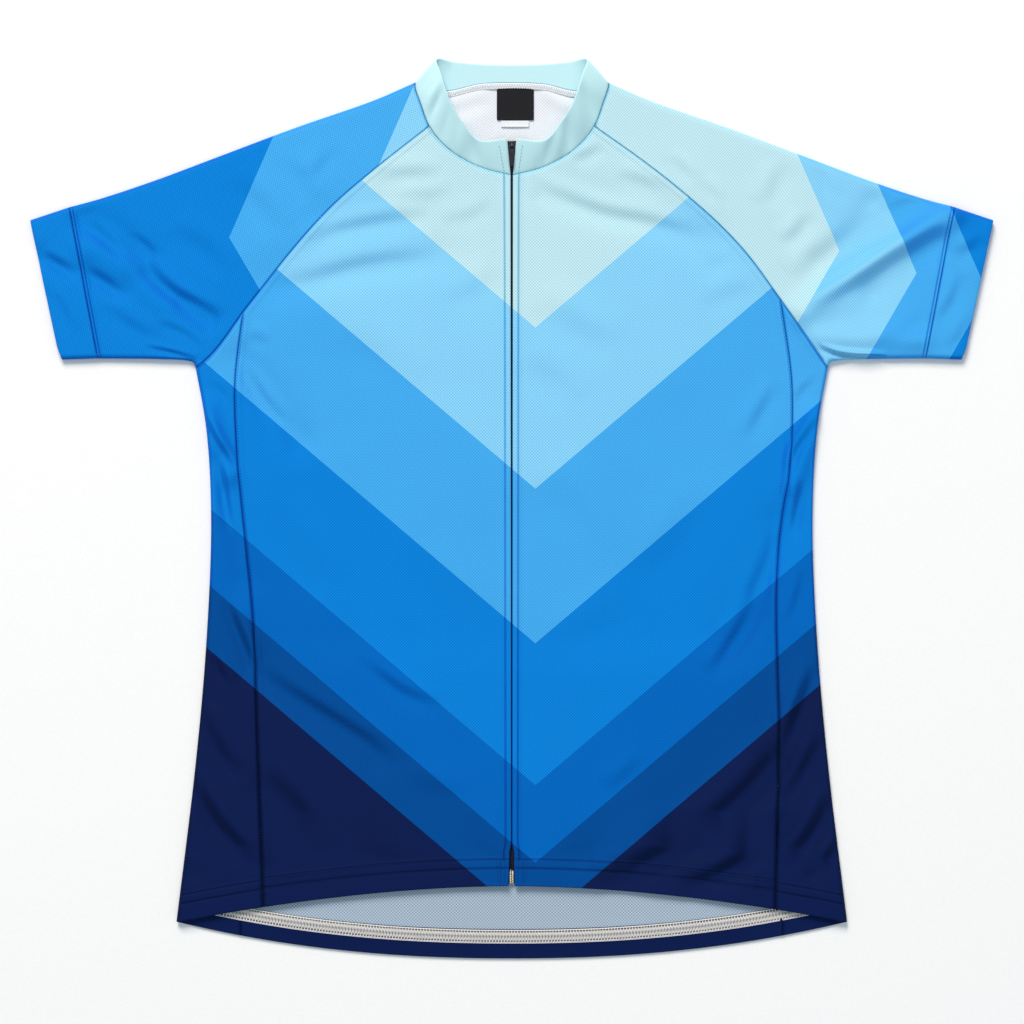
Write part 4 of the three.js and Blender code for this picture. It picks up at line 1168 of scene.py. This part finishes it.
# Soft upright creases of the collar: (station and side, half width in stations, depth)
collarCreases = [
    (-1.35, 0.3, -1.3), (-1.9, 0.25, 0.8), (-3.0, 0.3, -0.9), (-4.15, 0.26, -1.5), (-4.7, 0.3, 1.1),
    (-5.5, 0.25, -0.6),
    (1.25, 0.26, -1.0), (1.75, 0.22, 0.9), (2.3, 0.28, -1.2), (3.2, 0.35, 0.7), (4.3, 0.3, -1.1),
    (5.1, 0.3, 0.8),
    (-7.35, 0.22, 0.5), (7.3, 0.25, 0.5),
]


def standingCollar():
    count = collarCut["around"]
    turnStep = np.linspace(0, 2 * lastStation, count + 1)
    station = np.where(turnStep <= lastStation, turnStep, 2 * lastStation - turnStep)
    sign = np.where(turnStep < lastStation, -1.0, 1.0)
    seam, top = neckSeam(station), collarTop(station)
    seamTop = upperTop(seam[:, 0] * sign, seam[:, 1]) - collarCut["sunk"]
    layer = np.clip(seam[:, 2], -1, 1)
    seamZ = np.where(layer >= 0, lerp(seamTop / 2, seamTop, layer), seamTop / 2 * (1 + layer))
    width = np.hypot(top[:, 0] - seam[:, 0], top[:, 1] - seam[:, 1])
    share = np.concatenate([[0, 0.03, 0.06, 0.1], np.linspace(0.16, 1, 13)])
    inset = lerp((collarCut["gap"] / width)[:, None], 1, share[None, :])
    face = np.stack([
        sign[:, None] * lerp(seam[:, :1], top[:, :1], inset),
        lerp(seam[:, 1:2], top[:, 1:2], inset),
        lerp(seamZ[:, None], np.maximum(0, top[:, 2:]), inset),
    ], -1)
    along, up = np.gradient(face, axis=0), np.gradient(face, axis=1)
    up /= np.linalg.norm(up, axis=-1, keepdims=True)
    inwards = np.cross(along, up)
    inwards /= np.linalg.norm(inwards, axis=-1, keepdims=True)
    flatness = np.clip(np.minimum(layer + 1, 1), 0.25, 1)
    crown = collarCut["crown"] * np.sin(np.pi * share)[None, :] * flatness[:, None]
    signedStation = station * sign
    for place, half, depth in collarCreases:
        dent = depth * np.exp(-(((signedStation - place) / half) ** 2))
        crown = crown + dent[:, None] * np.sin(np.pi * share)
    groove = 0.3 * drawn(share * width[:, None], 1.2) * (layer > -0.5)[:, None]
    face -= inwards * (crown * (layer > -0.9)[:, None] - groove)[..., None]
    inner = face + inwards * collarCut["depth"]
    middle = (face[:, -1] + inner[:, -1]) / 2
    turn = np.linspace(0, np.pi, 7)[1:-1]
    rim = [middle + math.cos(angle) * (face[:, -1] - middle)
           + math.sin(angle) * collarCut["depth"] / 2 * up[:, -1] for angle in turn]
    points = np.concatenate([face, np.stack(rim, 1), inner[:, ::-1]], axis=1)
    points[..., 2] = np.maximum(points[..., 2], 0)
    run = np.cumsum(np.linalg.norm(np.diff(points, axis=1, prepend=points[:, :1]), axis=-1), axis=1)
    around = np.cumsum(np.linalg.norm(np.diff(points[:, 0], axis=0, prepend=points[:1, 0]), axis=-1))
    onCloth = np.stack([np.broadcast_to(around[:, None], run.shape), run], -1) + 20
    # painted shade along the collar's seam
    seam = np.zeros(run.shape)
    seam[:, :len(share)] = 0.5 * drawn(share * width[:, None], 0.7)

    def place(column, row):
        return points[row, column], onCloth[row, column], seam[row, column]

    piece = clothGrid("collar_cloth", points.shape[1], count + 1, place, "up")
    checkPoint = points[0, 4] - inwards[0, 4]
    thickenCloth(piece, collarCut["wall"], cloths["collarOut"], cloths["collarOut"])
    faceAwayFrom(piece, points[0, 4] + inwards[0, 4] * 0.7, checkPoint)
    return settle(piece, "collar")


# Turns a shell so that the face nearest to a point looks from within to without
def faceAwayFrom(piece, within, without):
    shape = bmesh.new()
    shape.from_mesh(piece.data)
    tree = BVHTree.FromBMesh(shape)
    _, normal, _, _ = tree.find_nearest(Vector(without * mm))
    shape.free()
    if normal.dot(Vector(without - within)) < 0:
        piece.data.flip_normals()


shells.append(standingCollar())
print("collar set")

# Zip: two tapes, a moulded coil, the slider with its pull tab, and the box at the bottom
zipParts = {
    "topY": 312.4,
    "riseY": 284.0,
    "riseLength": 16.0,
    "rise": 2.2,
    "tapeEdge": 0.15,
    "tapeWall": 0.8,
    "toothPitch": 1.3,
    "toothSize": (1.9, 0.86, 0.95),
    "toothOut": 0.62,
    "coilFrom": -305.0,
}


def tapeTop(y):
    rise = zipParts["rise"] * smooth(zipParts["riseY"], zipParts["riseY"] + zipParts["riseLength"], y)
    return pocketRise(0 * y, y) + 2 * body["clothThickness"] + body["layerGap"] + rise


def zipTape(sideName):
    sign = sides[sideName]["sign"]
    outs = np.array([zipParts["tapeEdge"], 1.6, 2.0, 5, 9, 12.6, 13.2, body["zipTapeWidth"]])
    relief = np.array([0, 0, -0.15, -0.1, -0.1, -0.1, 0, -0.2])
    ys = np.linspace(body["frontHemY"] + 2, zipParts["topY"], 240)

    def place(column, row):
        x, y = outs[column] * sign, ys[row]
        z = tapeTop(y) + relief[column]
        return np.stack([x, y, z], -1), np.stack([x + 100, y + 500], -1)

    piece = clothGrid("zip_tape_" + sideName.lower() + "_weave", len(outs), len(ys), place, "up")
    thickenCloth(piece, zipParts["tapeWall"], cloths["tape"], cloths["tape"])
    return settle(piece, "zip_tape_" + sideName.lower())


# Repeats a shape along a step by doubling it
def repeatShape(shape, count, step):
    made = 1
    first = list(shape.verts) + list(shape.edges) + list(shape.faces)
    while made < count:
        more = min(made, count - made)
        source = first if more < made else list(shape.verts) + list(shape.edges) + list(shape.faces)
        if more < made:
            more = 1
        copy = bmesh.ops.duplicate(shape, geom=source)["geom"]
        moved = [item for item in copy if isinstance(item, bmesh.types.BMVert)]
        bmesh.ops.translate(shape, verts=moved, vec=Vector(step) * made)
        made += more


def zipCoil(sideName):
    sign = sides[sideName]["sign"]
    shape = bmesh.new()
    bmesh.ops.create_uvsphere(shape, u_segments=6, v_segments=4, radius=0.5 * mm)
    bmesh.ops.scale(shape, vec=zipParts["toothSize"], verts=shape.verts)
    start = zipParts["coilFrom"] + (zipParts["toothPitch"] / 2 if sign > 0 else 0)
    bmesh.ops.translate(shape, verts=shape.verts, vec=(sign * zipParts["toothOut"] * mm, start * mm, 0))
    repeatShape(shape, 468, (0, zipParts["toothPitch"] * mm, 0))
    for vert in shape.verts:
        vert.co.z += (float(tapeTop(np.array(vert.co.y / mm))) + 0.3) * mm
    piece = meshPiece("zip_coil_" + sideName.lower(), shape)
    piece.data.materials.append(metals["teeth"])
    piece.data.shade_smooth()
    return settle(piece, None)


# Tapered outline of a slider plate or pull tab, from (y, half width) rows, raised into a plate
def taperedPlate(name, rows, low, high, holeRows=(), bevel=0.25):
    shape = bmesh.new()
    loops = []
    for outline in (rows, holeRows):
        if outline:
            points = [(out, y) for y, out in outline] + [(-out, y) for y, out in reversed(outline)]
            verts = [shape.verts.new((x * mm, y * mm, low * mm)) for x, y in points]
            loops += [shape.edges.new(pair) for pair in zip(verts, verts[1:] + verts[:1])]
    bmesh.ops.triangle_fill(shape, edges=loops, use_beauty=True)
    bmesh.ops.dissolve_limit(shape, angle_limit=0.01, verts=shape.verts, edges=shape.edges)
    bmesh.ops.recalc_face_normals(shape, faces=shape.faces)
    raised = bmesh.ops.extrude_face_region(shape, geom=list(shape.faces))["geom"]
    bmesh.ops.translate(shape, verts=[item for item in raised if isinstance(item, bmesh.types.BMVert)],
                        vec=(0, 0, (high - low) * mm))
    bmesh.ops.recalc_face_normals(shape, faces=shape.faces)
    sharp = [edge for edge in shape.edges if edge.is_manifold and edge.calc_face_angle() > 0.6]
    bmesh.ops.bevel(shape, geom=sharp, offset=bevel * mm, segments=2, profile=0.5, affect="EDGES",
                    material=-1)
    return meshPiece(name, shape)


slider = {
    "headY": 311.8,
    "length": 8.0,
    "base": 4.8,
    "height": 2.6,
    "plate": 0.85,
    "pivotY": 307.8,
    "pivotZ": 8.4,
    "bridgeRadius": 1.8,
    "bridgeThick": 0.5,
}


def joinPieces(name, pieces):
    shape = bmesh.new()
    for piece in pieces:
        shape.from_mesh(piece.data)
        bpy.data.objects.remove(piece)
    return meshPiece(name, shape)


def zipSlider():
    head, length, base, height = (slider[key] for key in ("headY", "length", "base", "height"))
    outline = [(head, 1.0), (head - 0.3, 2.5), (head - 1.6, 2.8), (head - 4.2, 2.5), (head - length, 2.0)]
    bottom = taperedPlate("slider_bottom", outline, base, base + slider["plate"])
    top = taperedPlate("slider_top", outline, base + height - slider["plate"], base + height)
    post = taperedPlate("slider_post", [(head - 0.5, 0.7), (head - 3, 0.35)], base + 0.5,
                        base + height - 0.5, (), 0.1)
    flanges = []
    for sign in (-1, 1):
        flange = taperedPlate("slider_flange", [(head - 3.4, 0.25), (head - length + 0.2, 0.25)],
                              base + 0.5, base + height - 0.5, (), 0.1)
        flange.data.transform(Matrix.Translation((sign * 1.75 * mm, 0, 0)))
        flanges.append(flange)
    arch = bmesh.new()
    thick, radius = slider["bridgeThick"] * mm, slider["bridgeRadius"] * mm
    foot = slider["pivotZ"] - (base + height) + 0.3
    bmesh.ops.create_grid(arch, x_segments=1, y_segments=1, size=thick)
    bmesh.ops.translate(arch, verts=arch.verts, vec=(0, -radius, -foot * mm))
    start = bmesh.ops.extrude_face_region(arch, geom=list(arch.faces))["geom"]
    bmesh.ops.translate(arch, verts=[item for item in start if isinstance(item, bmesh.types.BMVert)],
                        vec=(0, 0, foot * mm))
    bmesh.ops.spin(arch, geom=[item for item in start if isinstance(item, bmesh.types.BMFace)],
                   cent=(0, 0, 0),
                   axis=(-1, 0, 0), angle=math.pi, steps=10)
    end = [face for face in arch.faces if face.calc_center_median().y > radius * 0.7
           and face.normal.z < -0.9 and abs(face.calc_center_median().z) < 0.05 * mm]
    last = bmesh.ops.extrude_face_region(arch, geom=end)["geom"] if end else []
    bmesh.ops.translate(arch, verts=[item for item in last if isinstance(item, bmesh.types.BMVert)],
                        vec=(0, 0, -foot * mm))
    bmesh.ops.translate(arch, verts=arch.verts, vec=(0, slider["pivotY"] * mm, slider["pivotZ"] * mm))
    bmesh.ops.recalc_face_normals(arch, faces=arch.faces)
    bridge = meshPiece("slider_bridge", arch)
    piece = joinPieces("zip_slider_metal", [bottom, top, post, *flanges, bridge])
    piece.data.materials.append(metals["slider"])
    return settle(piece, "zip_slider")


pull = {"length": 17.0, "thickness": 1.0, "tilt": 4.0, "bar": 0.5}


def zipPull():
    length, bar = pull["length"], pull["bar"]
    outline = [(bar, 1.9), (bar - 0.6, 2.5), (-3.6, 2.6), (-6, 2.15), (-length + 2.2, 1.75),
               (-length + 0.7, 1.45),
               (-length, 0.7)]
    eye = [(-bar, 1.15), (-3.2, 1.15)]
    half = pull["thickness"] / 2
    plate = taperedPlate("pull_plate", outline, -half, half, eye)
    ridge = taperedPlate("pull_ridge", [(-5.2, 0.9), (-6.4, 1.15), (-length + 2.6, 0.9),
                                        (-length + 1.6, 0.5)],
                         half - 0.1, half + 0.22, (), 0.12)
    piece = joinPieces("zip_pull_metal", [plate, ridge])
    turn = Matrix.Rotation(math.radians(pull["tilt"]), 4, "X")
    piece.data.transform(Matrix.Translation((0, slider["pivotY"] * mm, slider["pivotZ"] * mm)) @ turn)
    piece.data.materials.append(metals["slider"])
    return settle(piece, "zip_pull", "pull_tab")


box = {"centreY": -312.0, "length": 12.0, "width": 4.2, "height": 1.8, "base": 3.9, "teeth": 7,
       "tooth": (2.5, 1.45, 1.1)}


def zipBox():
    top, bottom = box["centreY"] + box["length"] / 2, box["centreY"] - box["length"] / 2
    half = box["width"] / 2
    housing = taperedPlate("box_housing", [(top - 2, half - 0.5), (top - 3, half), (bottom + 0.5, half),
                                           (bottom, half - 0.4)],
                           box["base"], box["base"] + box["height"] - 0.7)
    teeth = []
    for sign in (-1, 1):
        shape = bmesh.new()
        bmesh.ops.create_uvsphere(shape, u_segments=8, v_segments=6, radius=0.5 * mm)
        bmesh.ops.scale(shape, vec=box["tooth"], verts=shape.verts)
        step = (box["length"] - 2) / box["teeth"]
        start = bottom + 0.9 + (step / 2 if sign > 0 else 0)
        bmesh.ops.translate(shape, verts=shape.verts,
                            vec=(sign * 0.95 * mm, start * mm, (box["base"] + box["height"] - 0.55) * mm))
        repeatShape(shape, box["teeth"], (0, step * mm, 0))
        row = meshPiece("box_teeth", shape)
        row.data.shade_smooth()
        teeth.append(row)
    pin = taperedPlate("box_pin", [(top, 0.5), (top - 5, 0.55)], box["base"] + 0.3, box["base"] + 1.3, (),
                       0.15)
    pin.data.transform(Matrix.Translation((-1.0 * mm, 0, 0)))
    second = taperedPlate("box_pin_two", [(top - 0.8, 0.45), (top - 5, 0.5)], box["base"] + 0.3,
                          box["base"] + 1.3, (), 0.15)
    second.data.transform(Matrix.Translation((1.0 * mm, 0, 0)))
    piece = joinPieces("zip_box_metal", [housing, pin, second, *teeth])
    piece.data.materials.append(metals["box"])
    return settle(piece, "zip_box")


for sideName in ("Right", "Left"):
    shells.append(zipTape(sideName))
    zipCoil(sideName)
zipSlider()
zipPull()
zipBox()
print("zip closed")

# Labels sewn inside the back neck, both blank
labels = {
    "neck_label": {"box": (-12.7, 330.2, 18.7, 357.8), "cloth": "darkLabel", "slot": "dark_label",
                   "border": 1.4},
    "care_label": {"box": (-9.1, 324.3, 14.7, 329.7), "cloth": "lightLabel", "slot": "light_label",
                   "border": 0.8},
}


labelLie = {"z": 1.75, "wave": 0.22, "border": 0.12, "edgeDrop": 0.25, "corner": 1.6, "wall": 0.4}


def label(node):
    cut = labels[node]
    left, foot, right, head = cut["box"]
    xs, ys = lerp(left, right, crowdBoth(28, 1.5)), lerp(foot, head, crowdBoth(24, 1.5))

    def place(column, row):
        x, y = xs[column], ys[row]
        toEdge = np.minimum.reduce([x - left, right - x, y - foot, head - y])
        toSide = np.maximum(0, labelLie["corner"] - np.minimum(x - left, right - x))
        toEnd = np.maximum(0, labelLie["corner"] - np.minimum(y - foot, head - y))
        shrink = 1 - 0.02 * np.clip(np.hypot(toSide, toEnd) - labelLie["corner"], 0, 1)
        z = labelLie["z"] + labelLie["wave"] * np.sin(x / 6 + 1) * np.sin(y / 7)
        z = z + labelLie["border"] * (1 - smooth(cut["border"], cut["border"] + 0.3, toEdge))
        z -= labelLie["edgeDrop"] * np.exp(-((toEdge / 0.25) ** 2))
        middle = np.array([(left + right) / 2, (foot + head) / 2])
        flat = middle + (np.stack([x, y], -1) - middle) * shrink[:, None]
        return np.stack([flat[:, 0], flat[:, 1], z], -1), np.stack([x + 50, y], -1)

    piece = clothGrid(node + "_cloth", len(xs), len(ys), place, "up")
    thickenCloth(piece, labelLie["wall"], cloths[cut["cloth"]], cloths[cut["cloth"]])
    return settle(piece, node)


shells += [label("neck_label"), label("care_label")]

# Rear pocket panel on the outside of the back, with a gathered mouth and two dividing seams
pocketCut = {
    "columns": 120, "rows": 60, "wall": 0.7, "dividers": (-61.0, 61.0), "mouthHem": 15.0,
    "gather": 0.22, "seamLift": 0.35, "most": 0.5,
}


def pocketPanel():
    shares = crowdBoth(pocketCut["columns"], 1.2)
    downs = crowdBoth(pocketCut["rows"], 1.3)

    def place(column, row):
        x = lerp(-pockets["halfWidth"], pockets["halfWidth"], shares[column])
        foot = backHem(x) + pockets["aboveHem"]
        y = lerp(pockets["mouthY"], foot, downs[row])
        fromMouth, toEdge = pockets["mouthY"] - y, pockets["halfWidth"] - np.abs(x)
        toDivider = np.minimum(np.abs(x - pocketCut["dividers"][0]), np.abs(x - pocketCut["dividers"][1]))
        waves = 1 + np.sin(x / 1.7 + np.sin(x / 13))
        gather = pocketCut["gather"] * waves * np.exp(-((fromMouth / 14) ** 2))
        atSeam = np.exp(-((toDivider / 1.6) ** 2)) + np.exp(-((np.minimum(toEdge, y - foot) / 1.3) ** 2))
        z = np.minimum(gather + pocketCut["seamLift"] * atSeam, pocketCut["most"])
        return np.stack([x, y, z], -1), np.stack([x + 500, y + 500], -1)

    piece = clothGrid("rear_pocket_cloth", len(shares), len(downs), place, "down")
    thickenCloth(piece, pocketCut["wall"], cloths["pocketOut"], cloths["sideIn"])
    return settle(piece, "rear_pocket_panel")


shells.append(pocketPanel())


# Woven tape that covers the neck seam inside the back
neckTape = {"width": 5.5, "height": 1.75, "from": 6.35}


def neckTapeStrip():
    steps = np.linspace(neckTape["from"], 2 * lastStation - neckTape["from"], 90)
    shares = np.array([0, 0.08, 0.3, 0.5, 0.7, 0.92, 1])
    crown = np.array([-0.3, 0, 0.1, 0.05, 0.1, 0, -0.3])
    sign = np.where(steps < lastStation, -1.0, 1.0)
    stations = np.where(steps <= lastStation, steps, 2 * lastStation - steps)
    seam = neckPoint(stations) * np.stack([sign, 0 * sign + 1], -1)

    def place(column, row):
        x, y = seam[row, 0], seam[row, 1] - 0.4 - shares[column] * neckTape["width"]
        z = neckTape["height"] + crown[column] + 0 * x
        return np.stack([x, y, z], -1), np.stack([x + 100, y], -1)

    piece = clothGrid("neck_tape", len(shares), len(steps), place, "up")
    thickenCloth(piece, 0.5, cloths["lightLabel"], cloths["lightLabel"])
    return settle(piece, None)


neckTapePiece = neckTapeStrip()
shells.append(neckTapePiece)
print("labels and pockets sewn on")


# Sewing: each stitch is a short strand that dips into the cloth at both ends
def surfaceTree(pieces, below=None):
    shape = bmesh.new()
    for piece in pieces:
        shape.from_mesh(piece.data)
    if below:
        high = [face for face in shape.faces if face.calc_center_median().z > below * mm]
        bmesh.ops.delete(shape, geom=high, context="FACES")
    tree = BVHTree.FromBMesh(shape)
    shape.free()
    return tree


def onSurface(tree, point, fromAbove):
    height = 0.1 if fromAbove else -0.1
    start = Vector((point[0] * mm, point[1] * mm, height))
    found, normal, _, _ = tree.ray_cast(start, Vector((0, 0, -1 if fromAbove else 1)))
    if found is None:
        return None, None
    if normal.z * height < 0:
        normal = -normal
    return found, normal


def alongRow(line, distances):
    line = np.array(line, float)
    steps = np.linalg.norm(np.diff(line, axis=0), axis=1)
    run = np.concatenate([[0], np.cumsum(steps)])
    return np.stack([np.interp(distances, run, column) for column in line.T], -1), run[-1]


sewn = {name: [] for name in threads}
stitchSizes = {"length": 2.1, "pitch": 2.9, "rise": 0.1, "sink": 0.3, "thread": 0.27}


def sewRow(thread, tree, line, fromAbove=True, length=None, pitch=None):
    length, pitch = length or stitchSizes["length"], pitch or stitchSizes["pitch"]
    _, total = alongRow(line, 0)
    for start in np.arange(0, total - length, pitch):
        ends, _ = alongRow(line, np.array([start, start + length]))
        sewStrand(thread, tree, ends[0], ends[1], fromAbove)


def sewStrand(thread, tree, first, last, fromAbove=True):
    strand = []
    for share, lift in ((0, -stitchSizes["sink"]), (0.25, stitchSizes["rise"]), (0.75, stitchSizes["rise"]),
                        (1, -stitchSizes["sink"])):
        found, normal = onSurface(tree, lerp(first, last, share), fromAbove)
        if found is None:
            return
        strand.append(found + normal * lift * mm)
    sewn[thread].append(strand)


def sewZigzag(thread, tree, lowLine, highLine, pitch, fromAbove=True):
    _, total = alongRow(lowLine, 0)
    _, totalHigh = alongRow(highLine, 0)
    for start in np.arange(0, total - pitch, pitch):
        low, _ = alongRow(lowLine, np.array([start, start + pitch]))
        high, _ = alongRow(highLine, np.array([start + pitch / 2]) * totalHigh / total)
        sewStrand(thread, tree, low[0], high[0], fromAbove)
        sewStrand(thread, tree, high[0], low[1], fromAbove)


def threadPiece(thread):
    curve = bpy.data.curves.new(thread + "_stitches", "CURVE")
    curve.dimensions = "3D"
    curve.bevel_depth = stitchSizes["thread"] * mm
    curve.bevel_resolution = 0
    curve.use_fill_caps = True
    for strand in sewn[thread]:
        spline = curve.splines.new("POLY")
        spline.points.add(len(strand) - 1)
        for point, place in zip(spline.points, strand):
            point.co = (*place, 1)
    holder = bpy.data.objects.new(thread + "_stitches", curve)
    bpy.context.scene.collection.objects.link(holder)
    mesh = bpy.data.meshes.new_from_object(holder)
    bpy.data.objects.remove(holder)
    piece = bpy.data.objects.new("stitching_" + thread, mesh)
    bpy.context.scene.collection.objects.link(piece)
    mesh.materials.clear()
    mesh.materials.append(threads[thread])
    return settle(piece, None)


laid = {piece.name: piece for piece in shells}
upperKinds = ("front", "side", "sleeve", "collar")
upperTree = surfaceTree([piece for name, piece in laid.items() if name.split("_")[0] in upperKinds])
backTree = surfaceTree([laid["back_cloth"], laid["side_right_cloth"], laid["side_left_cloth"]], 3.05)
insideTree = surfaceTree([laid["back_cloth"], laid["neck_label_cloth"], laid["care_label_cloth"],
                          neckTapePiece])
underTree = surfaceTree([laid["rear_pocket_cloth"], laid["back_cloth"]]
                        + [piece for name, piece in laid.items() if name.split("_")[0] in ("side", "sleeve")])

outs = np.linspace(0, 281, 300)
for sign in (-1, 1):
    for row in hemSeams["rows"]:
        shown = outs[outs > 6.5]
        sewRow("body", upperTree, np.stack([shown * sign, frontHem(shown) + row], -1))
        sewRow("body", underTree, np.stack([outs * sign, backHem(outs) + row], -1), False)
    side = sides["Left" if sign > 0 else "Right"]
    seam = lineAlong(side["sideSeam"])(np.linspace(0.01, 0.99, 60))
    sewRow("body", upperTree, (seam - np.array([1.7, 0])) * np.array([sign, 1]), True, 1.5, 2.4)
    seam = lineAlong(backSideSeam)(np.linspace(0.01, 0.96, 60))
    sewRow("body", underTree, (seam - np.array([1.7, 0])) * np.array([sign, 1]), False, 1.5, 2.4)
    x = hemSeams["zipLeft"] if sign > 0 else hemSeams["zipRight"]
    toCollar = (9.5, 311) if sign > 0 else (-11.2, 311)
    sewRow("body", upperTree, [(x, -317), (x, 268), (x + 0.2 * sign, 284), toCollar])
    thread = "leftSleeve" if sign > 0 else "rightSleeve"
    first, last = np.array(shoulderFold[-1]), np.array(underarmFold[-1])
    inwards = np.array([sleeveCut["stitch"] * 1.02, -0.2 * sleeveCut["stitch"]])
    cuff = lerp(first, last, np.linspace(0.02, 0.98, 40)[:, None]) - inwards
    sewRow(thread, upperTree, cuff * np.array([sign, 1]))
    sewRow(thread, underTree, cuff * np.array([sign, 1]), False)
    for out in (10.2, 12.6):
        sewRow("body", upperTree, [(sign * out, -297), (sign * (out - 0.6), -318)], True, 1.7, 2.2)

wide = np.linspace(-262, 262, 600)
lowBand, highBand = (np.stack([wide, backHem(wide) + row], -1) for row in hemSeams["looperBand"])
for edge in (lowBand, lowBand + np.array([0, 0.8]), highBand, highBand - np.array([0, 0.5])):
    sewRow("white", backTree, edge, True, 3.1, 2.5)
sewZigzag("white", backTree, lowBand, highBand, 2.5)
sewZigzag("white", backTree, lowBand + np.array([1.2, 1.6]), highBand + np.array([1.2, -1.2]), 2.5)

neckSteps = np.linspace(neckTape["from"] + 0.05, lastStation, 60)
halfNeck = neckPoint(neckSteps)
neckLine = np.concatenate([halfNeck * np.array([-1, 1]), halfNeck[::-1]])
for drop in (1.4, 4.9):
    sewRow("grey", insideTree, neckLine - np.array([0, drop]), True, 1.5, 2.1)
sewZigzag("grey", insideTree, neckLine - np.array([0, 4.6]), neckLine - np.array([0, 1.7]), 2.1)

left, foot, right, head = labels["neck_label"]["box"]
for line in ([(left + 0.8, foot + 1), (left + 0.8, head - 1)],
             [(right - 0.8, foot + 1), (right - 0.8, head - 1)],
             [(left + 1, head - 0.9), (right - 1, head - 0.9)],
             [(left + 1, foot + 0.9), (right - 1, foot + 0.9)]):
    sewRow("dark", insideTree, line, True, 1.3, 1.9)

pocketX = np.linspace(-pockets["halfWidth"] + 1, pockets["halfWidth"] - 1, 200)
for drop in (pocketCut["mouthHem"], pocketCut["mouthHem"] - 6):
    sewRow("body", underTree, np.stack([pocketX, 0 * pocketX + pockets["mouthY"] - drop], -1), False)
sewRow("body", underTree, np.stack([pocketX, backHem(pocketX) + pockets["aboveHem"] + 1.6], -1), False)
for x in (*pocketCut["dividers"], -pockets["halfWidth"] + 1.6, pockets["halfWidth"] - 1.6):
    ys = np.linspace(pockets["mouthY"] - 1, float(backHem(x)) + pockets["aboveHem"] + 1.6, 40)
    sewRow("body", underTree, np.stack([0 * ys + x, ys], -1), False)
    for step in range(7):
        tack = np.array([x - 1.5 + 0.5 * step, pockets["mouthY"] - 4])
        sewStrand("dark", underTree, tack + np.array([0, 3]), tack - np.array([0, 3]), False)

for thread, strands in sewn.items():
    if strands:
        threadPiece(thread)
print("sewing done:", {thread: len(strands) for thread, strands in sewn.items()})
